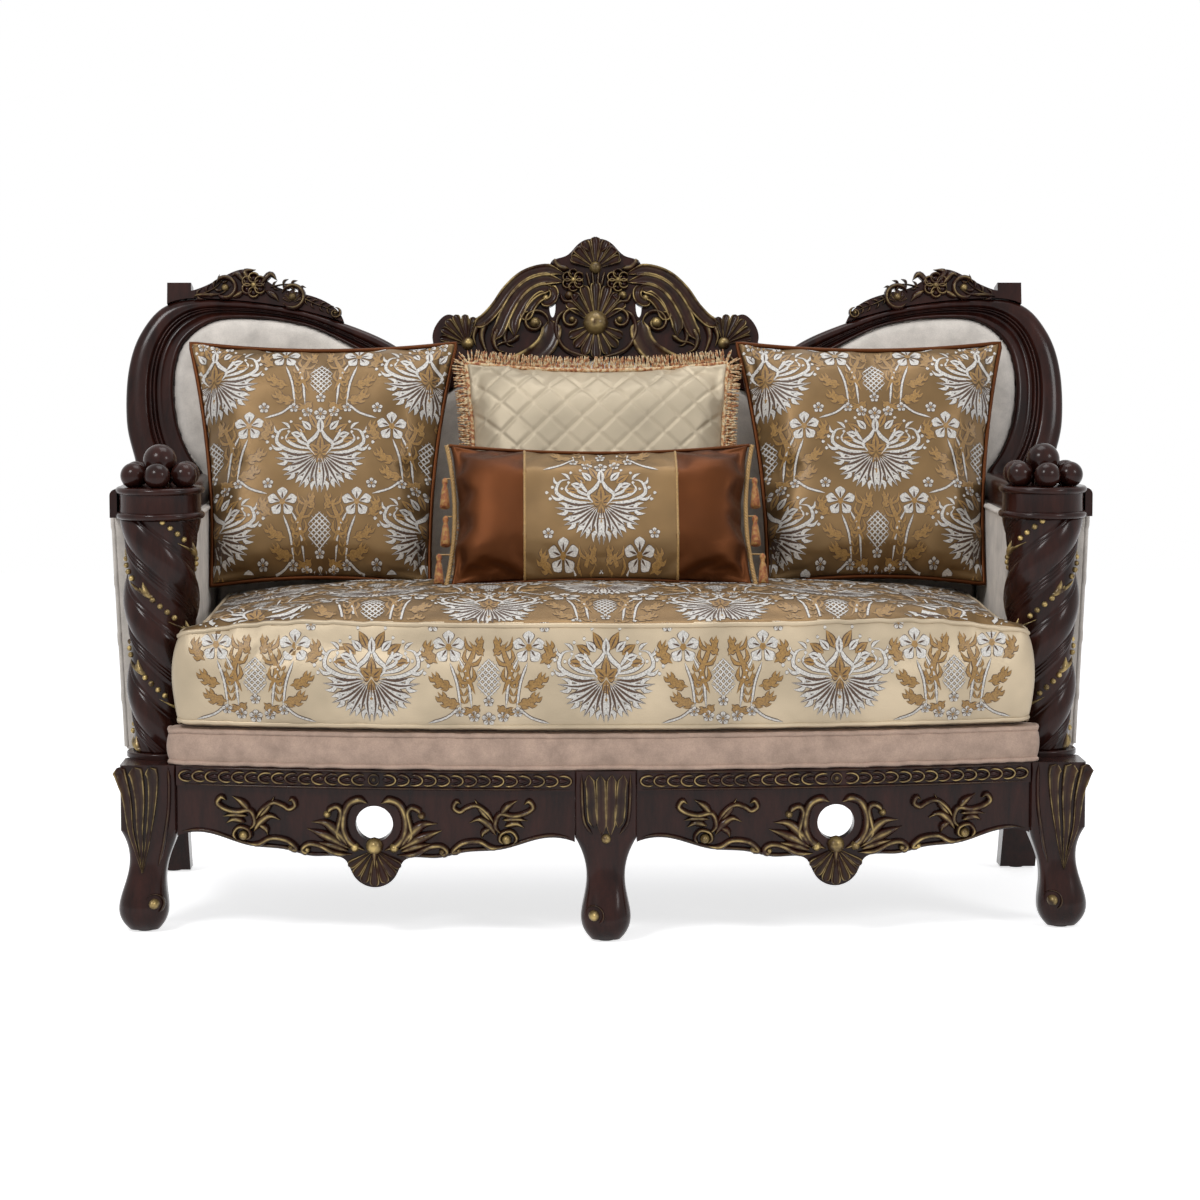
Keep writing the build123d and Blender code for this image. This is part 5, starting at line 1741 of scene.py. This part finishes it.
# Pillows: node, width, height, thickness, how far the foot is squeezed in, lean in degrees
PILLOWS = {
    "brocade_left": ("brocade_pillow_left", 516, 486, 140, 50, 20),
    "brocade_right": ("brocade_pillow_right", 516, 486, 140, 50, 20),
    "quilted": ("quilted_pillow", 508, 446, 126, 0, 22),
    "lumbar": ("lumbar_pillow", 566, 292, 112, 0, 29),
}


class LOVESEAT_OT_brocade_pillows(bpy.types.Operator):
    """Two large brocade pillows with rust piping"""

    bl_idname = "loveseat.brocade_pillows"
    bl_label = "Brocade pillows"

    def execute(self, context):
        for body in ("brocade_left", "brocade_right"):
            pillow = Pillow(*PILLOWS[body])
            made = pillow.mesh(f"stuffed_{pillow.node}", finishes["brocade"])
            moved(made, lambda spot, normal: normal * ripple(spot, 16, 2.2 * MM))
            finished(made, body, "brocade", [pillow.node])
            brocade = Brocade(pillow.surface(made))
            brocade.cover(3, 5, first=1)
            brocade.pieces(f"{pillow.node}_figure", body)
            cord_piece(f"{pillow.node}_piping", [(pillow.rim(), True)], sizes().welt, "rust_satin", body)
        return {"FINISHED"}


# The two layers of fringe: name, share of the full length, pitch and sway
FRINGES = (("bullion_fringe", 1.0, 3.1 * MM, 0.22), ("fringe_under", 0.85, 3.7 * MM, 0.34))


class LOVESEAT_OT_quilted_pillow(bpy.types.Operator):
    """Diamond-quilted satin pillow with a bullion fringe round three sides"""

    bl_idname = "loveseat.quilted_pillow"
    bl_label = "Quilted pillow"

    def execute(self, context):
        size = sizes()
        body = "quilted"
        pillow = Pillow(*PILLOWS[body])
        made = subdivided(pillow.mesh(f"stuffed_{pillow.node}", finishes["champagne_satin"]))
        pitch = size.quilt / MM

        def quilting(spot, normal):
            u, v, w = pillow.local(spot)
            inside = min(1.0, abs(w) / 18)
            depth = 0.0
            for line in ((u + v) / pitch, (u - v) / pitch):
                off = abs(line - round(line)) * pitch / math.sqrt(2)
                depth = max(depth, math.exp(-((off / 3.4) ** 2)))
            return normal * (1.2 - 3.4 * depth) * inside * MM

        moved(made, quilting)
        finished(made, body, "champagne_satin", [pillow.node])

        toward = tuple(pillow.toward)
        runs = [(pillow.rim(150, first=1, last=4), False)]
        for name, length, pitch, sway in FRINGES:
            strand = self.strand(size.fringe * length)
            loops = repeated_piece(name, runs, strand, pitch, toward, "fringe", body, sway=sway)
            if length == 1.0:
                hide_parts("quilted_pillow_fringe")
        cord_piece("fringe_heading", runs, 4.0 * MM, "fringe", body, sides=8)
        return {"FINISHED"}

    def strand(self, length):
        """One twisted loop of fringe, hanging along its own Y."""
        points = []
        rows, sides = 7, 5
        for row in range(rows):
            t = row / (rows - 1)
            radius = 2.3 * MM * (0.65 + 0.35 * math.cos(6.5 * math.pi * t)) * (0.55 if row == rows - 1 else 1)
            for k in range(sides):
                angle = 2 * math.pi * (k / sides + 0.6 * t)
                points.append((radius * math.cos(angle), length * t, -radius * math.sin(angle)))
        return outward(new_object("strand", points, tube_faces(rows, sides), finishes["fringe"]))


BRAID_STEPS = 140
# Tassel: radius and drop down its cord end, wound head, neck and skirt, in millimetres
TASSEL_PROFILE = [
    (0.8, 1), (2.2, 0), (4.6, -3), (5.6, -7), (4.8, -11), (3.6, -13), (4.4, -14.5), (3.8, -16),
    (5.2, -22), (6.6, -34), (7.8, -48), (8.6, -60), (6.0, -61.5), (0.5, -60),
]
TASSEL_SIDES = 40
TASSEL_LENGTH = 62
TASSEL_TOPS = (-78, 0, 78)


class LOVESEAT_OT_lumbar_pillow(bpy.types.Operator):
    """Long pillow with a brocade middle, satin ends, braid and tassels"""

    bl_idname = "loveseat.lumbar_pillow"
    bl_label = "Lumbar pillow"

    def execute(self, context):
        body = "lumbar"
        pillow = Pillow(*PILLOWS[body])
        made = pillow.mesh(f"stuffed_{pillow.node}", finishes["rust_satin"])
        moved(made, lambda spot, normal: normal * ripple(spot, 18, 2.0 * MM))
        made.data.materials.append(finishes["brocade"])
        band = pillow.half * 0.50
        for polygon in made.data.polygons:
            if abs(pillow.local(polygon.center)[0]) < band:
                polygon.material_index = 1
        finished(made, body, "rust_satin", [pillow.node])
        brocade = Brocade(pillow.surface(made))
        brocade.cover(1, 3, first=1)
        brocade.pieces("lumbar_figure", body)
        self.seams(pillow, made, band)
        self.braids(pillow)
        self.tassels(pillow)
        return {"FINISHED"}

    def seams(self, pillow, made, band):
        """Gold cord over the two seams between brocade and satin, and satin piping along the long edges."""
        tree = tree_of(made)
        runs = []
        for side in (1, -1):
            ring = []
            for k in range(72):
                angle = 2 * math.pi * k / 72
                aim = pillow.up * math.cos(angle) + pillow.toward * math.sin(angle)
                start = pillow.spot(side * band, 0)
                hit = tree.ray_cast(start, aim)[0]
                if hit is not None:
                    ring.append(hit)
            runs.append((ring, True))
        cord_piece("lumbar_seam_cord", runs, 2.4 * MM, "gold_braid", "lumbar", sides=8)
        edges = [(pillow.rim(60, first=side, last=side + 1), False) for side in (0, 2)]
        cord_piece("lumbar_piping", edges, 3.6 * MM, "rust_satin", "lumbar")

    def braid_path(self, pillow, v):
        """Distance of the braid from the middle at a height of the plane."""
        return pillow.half + 4.8 - DRAW_IN * (1 - (v / pillow.rise) ** 2)

    def braids(self, pillow):
        """Three-ply cord down both ends."""
        runs = []
        for side in (1, -1):
            for ply in range(3):
                run = []
                for k in range(BRAID_STEPS):
                    v = pillow.rise * (2 * k / (BRAID_STEPS - 1) - 1)
                    u, w = around((self.braid_path(pillow, v), 0), 2.2, 360 * (k / 9 + ply / 3))
                    run.append(pillow.spot(side * u, v, w))
                runs.append((run, False))
        made = cord_piece("twisted_braid", runs, 2.5 * MM, "gold_braid", "lumbar", sides=7)
        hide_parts("lumbar_braids")

    def tassels(self, pillow):
        """Six tassels, each a cord, a wound head and a skirt of strands."""
        points, faces = [], []
        cords = []
        for side in (1, -1):
            for top in TASSEL_TOPS:
                widest = max(self.braid_path(pillow, v) for v in (top, top - TASSEL_LENGTH))
                reach = widest + 14.1
                faces.extend(tube_faces(len(TASSEL_PROFILE), TASSEL_SIDES, start=len(points)))
                for radius, drop in TASSEL_PROFILE:
                    depth = 0.14 if drop < -16 else 0.05
                    for k in range(TASSEL_SIDES):
                        groove = 1 + depth * (1 if k % 2 else -1)
                        u, w = around((side * reach, 0), radius * groove, 360 * k / TASSEL_SIDES)
                        points.append(pillow.spot(u, top + drop, w))
                inner = self.braid_path(pillow, top) + 3
                cords.append(([pillow.spot(side * u, top - 1) for u in (inner, reach)], False))
        made = outward(new_object("tassels", points, faces, finishes["tassel"]))
        finished(made, "lumbar", "gold_braid", ["lumbar_tassels"])
        cord_piece("tassel_cords", cords, 1.5 * MM, "gold_braid", "lumbar", sides=6)


# Seat plan in millimetres: the front at its middle, the radius of its bow and the rear of the ears
FRONT_LINE = -406.4
BOW_RADIUS = 3332.24
EAR_BACK = -284.4
# Cushion: half its width across the ears, half its width behind them, rear edge and crown
CUSHION_HALF = 764.0
CUSHION_INNER = 716.0
CUSHION_BACK = 203.0
CUSHION_CROWN = 600.6
# Figures on the cushion: face, its upward direction, rows, middle of the rows, and 1 to begin with a vase
SEAT_FIGURES = (("top", (0, 1, 0), 4, -115, 0), ("front", (0, 0, 1), 1, 470, 1))


def bowed(x, proud):
    """Depth of the bowed front at x, moved forward by proud."""
    return FRONT_LINE + BOW_RADIUS - math.sqrt((BOW_RADIUS + proud) ** 2 - x * x)


def seat_edge(half, inner, proud, back, height, front_only=False):
    """Closed T-shaped path round a seat piece, or its front and ears; height gives z at x, y."""
    front = [(half * (k / 30 - 1), bowed(half * (k / 30 - 1), proud)) for k in range(61)]
    ears = [(half, EAR_BACK), (inner, EAR_BACK)]
    mirrored = [(-x, y) for x, y in reversed(ears)]
    if front_only:
        plan = mirrored + front + ears
    else:
        plan = front + ears + [(inner, back), (-inner, back)] + mirrored
    path = [Vector((x, y, height(x, y))) * MM for x, y in plan]
    return evenly(path, 300, closed=not front_only)


def crowned_top(x, y):
    """Height of the cushion's edge and crown at x, y."""
    across = CUSHION_CROWN - 39.0 * (x / CUSHION_HALF) ** 2
    along = CUSHION_CROWN - 34.0 * ((y + 112.0) / 316.0) ** 2
    return min(across, along) - slump(x, y)


def slump(x, y):
    """How far the cushion's front corners have settled."""
    return 24.0 * min(1.0, abs(x) / CUSHION_HALF) ** 6 * clamped((-y - 150.0) / 230.0)


class LOVESEAT_OT_seat(bpy.types.Operator):
    """Padded platform and the loose brocade cushion with its welts"""

    bl_idname = "loveseat.seat"
    bl_label = "Seat"

    def execute(self, context):
        self.platform()
        self.cushion()
        return {"FINISHED"}

    def platform(self):
        """Chenille border over the deck, with a self welt above and below."""
        made = soft_copy("chenille_platform", "seat_platform", 9 * MM, finishes["chenille"])
        low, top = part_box("seat_platform")
        height = top[2] - low[2]

        def swell(spot, normal):
            level = (spot.z - low[2]) / height
            if abs(normal.z) > 0.7 or spot.y > -0.28:
                return STILL
            bulge = 7 * MM * math.sin(math.pi * clamped(level))
            return normal * (bulge + ripple(spot, 30, 1.5 * MM))

        moved(made, swell)
        finished(made, FRAME_BODY, "chenille", ["seat_platform"])
        for name, level in (("upper", 366), ("lower", 309)):
            path = seat_edge(776, 728, 4, 0, lambda x, y, level=level: level, front_only=True)
            runs = [(laid_on(path, made, 1 * MM), False)]
            cord_piece(f"platform_welt_{name}", runs, sizes().welt, "chenille", FRAME_BODY)

    def cushion(self):
        """Loose cushion: brocade top, paler boxing and welts along both edges."""
        body = "seat_cushion"
        made = soft_copy("stuffed_seat_cushion", "seat_cushion", 10 * MM, finishes["brocade"], easing=14)
        low, top = corners_of("seat_cushion")

        def held(spot, normal):
            """The underside, the rear and the sides behind the ears stay."""
            if spot.z < low.z + 12 * MM or spot.y > top.y - 12 * MM:
                return True
            return abs(normal.x) > 0.7 and spot.y > -0.29

        stuffed(made, 4.0, 10 * MM, held)

        def ease(spot, normal):
            if held(spot, normal):
                return STILL
            level = (spot.z - low.z) / (top.z - low.z)
            bulge = 15 * MM * math.sin(math.pi * min(1.0, level * 1.15)) if normal.y < -0.4 else 0.0
            sunk = Vector((0, 0, -slump(spot.x / MM, spot.y / MM) * MM)) * max(0.0, level - 0.25) / 0.75
            ear = clamped((abs(spot.x) / MM - 690.0) / 74.0) * clamped((-spot.y / MM - 270.0) / 40.0)
            inwards = Vector((-math.copysign(26 * MM * ear * max(0.0, 2 * level - 1) ** 3, spot.x), 0, 0))
            return normal * (bulge + ripple(spot, 9, 3.0 * MM)) + sunk + inwards

        moved(made, ease)
        made.data.materials.append(finishes["boxing"])
        for polygon in made.data.polygons:
            if polygon.normal.z < 0.62:
                polygon.material_index = 1
        finished(made, body, "brocade", ["seat_cushion"])
        runs = []
        for height in (lambda x, y: crowned_top(x, y) - 3, lambda x, y: 380):
            path = seat_edge(CUSHION_HALF, CUSHION_INNER, 10, CUSHION_BACK, height)
            runs.append((laid_on(path, made), True))
        cord_piece("cushion_welts", runs, sizes().welt, "boxing", body, slot="brocade")
        for name, up, rows, middle, first in SEAT_FIGURES:
            brocade = Brocade(Surface(made, (0, 0, 0), (1, 0, 0), up, facing=0.72))
            brocade.cover(7, rows, middle=(0, middle), first=first)
            brocade.pieces(f"seat_{name}_figure", body)


# Underside of the crest from the hoop to the middle, x and floor height
CREST_UNDERSIDE = [(262, 962), (160, 990), (80, 1002), (0, 1006)]
# Velvet on the rear: inner face of the posts it fits between, its foot, its place and thickness behind the
# frame, and how far its edge climbs from a post out to the hoop
POST_INNER = 801.0
OUTSIDE_FOOT = 312.0
FRAME_REAR = 45.4
OUTSIDE_THICKNESS = 10.6
SHOULDER_RISE = 58.0
OUTSIDE_RINGS = 44
OUTSIDE_MIDDLE = Vector((0, 650, 0))
# Velvet on the front: breadth of its roll under the show-wood, and how proud it stands
PANEL_ROLL = 30.0
PANEL_FACE = 24.0
EDGE_STEPS = 500


class ShowWoodEdge:
    """Edge of the show-wood round the back panels, as points and directions away from the panels."""

    def __init__(self):
        self.path = evenly(smooth_path(drawn(WING_INNER + CREST_UNDERSIDE), 14), EDGE_STEPS)
        self.lookup = KDTree(len(self.path))
        for i, spot in enumerate(self.path):
            self.lookup.insert(spot, i)
        self.lookup.balance()

    def beyond(self, place):
        """How far a place lies past the edge in millimetres, less than 0 inside it, and its rise."""
        offset = (place - BACK_FOOT) / MM
        rise = offset.y * -math.cos(BACK_LEAN) + offset.z * math.sin(BACK_LEAN)
        height = (offset.y * math.sin(BACK_LEAN) + offset.z * math.cos(BACK_LEAN)) * math.cos(BACK_LEAN)
        spot = Vector((abs(offset.x), height, 0))
        near, i, gap = self.lookup.find(spot)
        ahead = self.path[min(i + 1, EDGE_STEPS - 1)] - self.path[max(i - 1, 0)]
        outside = (spot - near).dot(Vector((ahead.y, -ahead.x, 0))) > 0
        return gap if outside else -gap, rise


class LOVESEAT_OT_back(bpy.types.Operator):
    """Velvet panels inside and outside the back, with piping"""

    bl_idname = "loveseat.back"
    bl_label = "Back upholstery"

    def execute(self, context):
        edge = ShowWoodEdge()

        def held(spot, normal):
            """The rear and what rolls under the show-wood stay."""
            return normal.dot(BACK_FORWARD) < 0.5 or edge.beyond(spot)[0] > -16

        def uneven(spot, normal):
            return normal * ripple(spot, 7, 3.0 * MM) * max(0.0, normal.dot(BACK_FORWARD))

        for name in ("left", "centre", "right"):
            node = f"inside_back_{name}"
            made = soft_copy(f"velvet_{node}", node, 7 * MM, finishes["velvet"])
            moved(made, lambda spot, normal: BACK_FORWARD * self.tuck(edge, spot))
            stuffed(made, 4.0, 16 * MM, held)
            moved(made, uneven)
            finished(made, FRAME_BODY, "velvet", [node])
        runs = []
        for side in (1, -1):
            runs.append(([back_spot(side * 262, 400 + 14 * k, 21 * MM) for k in range(41)], False))
        cord_piece("back_seam_piping", runs, sizes().welt, "velvet", FRAME_BODY)
        self.outside()
        return {"FINISHED"}

    def outside(self):
        """Velvet over the whole rear, rolled over its edge, with piping round it."""
        hoop = [far.lerp(near, 0.5) for far, near in zip(*hoop_lines())]
        shoulder = hoop[0].y + 6
        hoop = [spot for spot in hoop if spot.y > shoulder + SHOULDER_RISE]
        half = [Vector((POST_INNER, OUTSIDE_FOOT, 0)), Vector((POST_INNER, shoulder, 0))] + hoop
        half.extend(smooth_path(drawn([(x, z + 12) for x, z in CREST_UNDERSIDE]), 8))
        rim = evenly(half + [Vector((-spot.x, spot.y, 0)) for spot in reversed(half[:-1])], 420, closed=True)
        points = []
        for ring in range(OUTSIDE_RINGS):
            share = 1 - (1 - (ring + 1) / OUTSIDE_RINGS) ** 1.6
            for spot in rim:
                at = OUTSIDE_MIDDLE.lerp(spot, share)
                inset = (spot - at).length
                roll = math.sqrt(1 - max(0.0, 1 - inset / OUTSIDE_THICKNESS) ** 2)
                wide = max(0.0, 1 - abs(at.x / 870) ** 4) * max(0.0, 1 - abs((at.y - 700) / 420) ** 4)
                swell = wide * (6 + ripple(at * MM, 6, 1.5))
                points.append(back_spot(at.x, at.y, -(FRAME_REAR + (OUTSIDE_THICKNESS + swell) * roll) * MM))
        points.extend(back_spot(spot.x, spot.y, -FRAME_REAR * MM) for spot in rim)
        faces = tube_faces(OUTSIDE_RINGS + 1, len(rim))
        made = outward(new_object("velvet_outside_back", points, faces, finishes["velvet"]))
        finished(made, FRAME_BODY, "velvet", ["outside_back"])
        edge = [back_spot(spot.x, spot.y, -(FRAME_REAR + 4) * MM) for spot in rim]
        cord_piece("outside_back_piping", [(edge, True)], sizes().welt, "velvet", FRAME_BODY)

    def tuck(self, edge, place):
        """How far a point of a panel moves so that the panel rolls under the show-wood."""
        past, rise = edge.beyond(place)
        if past < -PANEL_ROLL:
            return 0.0
        share = min(1.0, (past + PANEL_ROLL) / PANEL_ROLL)
        most = -6.0 if past > 0 else (PANEL_FACE + 4) * math.sqrt(1 - share**2) - 4
        return min(0.0, most - rise) * MM


class LOVESEAT_OT_arms(bpy.types.Operator):
    """Padded velvet arms with piping"""

    bl_idname = "loveseat.arms"
    bl_label = "Arms"

    def execute(self, context):
        for side, name in SIDES:
            node = f"arm_pad_{name}"
            made = soft_copy(f"velvet_{node}", node, 5 * MM, finishes["velvet"])
            low, top = corners_of(node)

            def plump(spot, normal, low=low, top=top):
                outer = spot.x * normal.x > 0
                if abs(normal.x) < 0.8 or outer and abs(spot.x) < abs(low.x + top.x) / 2:
                    return STILL
                along = (spot.y - low.y) / (top.y - low.y)
                level = (spot.z - low.z) / (top.z - low.z)
                share = max(0.0, math.sin(math.pi * along)) * max(0.0, math.sin(math.pi * level))
                return normal * ((10 if outer else 3) * MM * share**0.6 + ripple(spot, 8, 1.5 * MM) * share)

            moved(made, plump)
            finished(made, FRAME_BODY, "velvet", [node])
            solid = frame["nodes"][node]
            corners = [solid.matrix_world @ vertex.co for vertex in solid.data.vertices]
            rear_top = max(spot.y for spot in corners if spot.z > top.z - 12 * MM) / MM - 4
            rear_foot = max(spot.y for spot in corners if spot.z < low.z + 12 * MM) / MM - 4
            runs = []
            for x_top, x_foot in ((896, 876), (746, 746)):

                def edge(t, foot, head):
                    """Point up the front or the rear edge of the pad, from y at its foot to y at its head."""
                    x = side * (x_foot + (x_top - x_foot) * t)
                    return Vector((x, foot + (head - foot) * t, 310 + 421 * t)) * MM

                path = [edge(0.2 * k, -121, -121) for k in range(6)]
                path += [Vector((side * x_top, y, 731)) * MM for y in (-60, 0, 60, 120, 180)]
                path += [edge(1 - 0.2 * k, rear_foot, rear_top) for k in range(6)]
                runs.append((laid_on(evenly(path, 180), made), False))
            cord_piece(f"arm_piping_{name}", runs, sizes().welt, "velvet", FRAME_BODY)
        return {"FINISHED"}


class LOVESEAT_OT_underside(bpy.types.Operator):
    """Black dust cover stapled under the seat"""

    bl_idname = "loveseat.underside"
    bl_label = "Dust cover"

    def execute(self, context):
        low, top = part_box("dust_cover")
        flat = (top[0] - low[0], top[1] - low[1])
        rows, columns = 24, 64
        points = []
        for row in range(rows):
            for column in range(columns):
                a, b = column / (columns - 1), row / (rows - 1)
                sag = 5 * MM * math.sin(math.pi * a) * math.sin(math.pi * b)
                points.append((low[0] + flat[0] * a, low[1] + flat[1] * b, top[2] - 0.4 * MM - sag))
        made = new_object("dust_cover_cloth", points, grid_faces(rows, columns), finishes["deck_fabric"])
        wall = made.modifiers.new("cloth_thickness", "SOLIDIFY")
        wall.thickness = 0.6 * MM
        wall.offset = 0.0
        applied(made)
        finished(made, FRAME_BODY, "deck_fabric", ["dust_cover"])
        return {"FINISHED"}


class LOVESEAT_PT_panel(bpy.types.Panel):
    """Sizes, colours and building steps of the loveseat"""

    bl_idname = "LOVESEAT_PT_panel"
    bl_label = "Loveseat"
    bl_space_type = "VIEW_3D"
    bl_region_type = "UI"
    bl_category = "Loveseat"

    def draw(self, context):
        layout = self.layout
        for group in (context.scene.loveseat_sizes, context.scene.loveseat_colours):
            box = layout.box()
            for name in group.__annotations__:
                box.prop(group, name)
        for step in STEPS:
            layout.operator(step.bl_idname)


STEPS = (
    LOVESEAT_OT_stage,
    LOVESEAT_OT_finishes,
    LOVESEAT_OT_columns,
    LOVESEAT_OT_wings,
    LOVESEAT_OT_crest,
    LOVESEAT_OT_front,
    LOVESEAT_OT_legs,
    LOVESEAT_OT_back,
    LOVESEAT_OT_arms,
    LOVESEAT_OT_seat,
    LOVESEAT_OT_brocade_pillows,
    LOVESEAT_OT_quilted_pillow,
    LOVESEAT_OT_lumbar_pillow,
    LOVESEAT_OT_underside,
)
CLASSES = (LoveseatSizes, LoveseatColours, *STEPS, LOVESEAT_PT_panel)


def register():
    """Adds the classes and their settings."""
    for kind in CLASSES:
        bpy.utils.register_class(kind)
    bpy.types.Scene.loveseat_sizes = bpy.props.PointerProperty(type=LoveseatSizes)
    bpy.types.Scene.loveseat_colours = bpy.props.PointerProperty(type=LoveseatColours)


def unregister():
    """Removes the settings and the classes."""
    del bpy.types.Scene.loveseat_colours
    del bpy.types.Scene.loveseat_sizes
    for kind in reversed(CLASSES):
        bpy.utils.unregister_class(kind)


def main():
    """Builds the loveseat step by step."""
    register()
    bpy.ops.loveseat.stage()
    bpy.ops.loveseat.finishes()
    bpy.ops.loveseat.columns()
    bpy.ops.loveseat.wings()
    bpy.ops.loveseat.crest()
    bpy.ops.loveseat.front()
    bpy.ops.loveseat.legs()
    bpy.ops.loveseat.back()
    bpy.ops.loveseat.arms()
    bpy.ops.loveseat.seat()
    bpy.ops.loveseat.brocade_pillows()
    bpy.ops.loveseat.quilted_pillow()
    bpy.ops.loveseat.lumbar_pillow()
    bpy.ops.loveseat.underside()


if __name__ == "__main__":
    main()
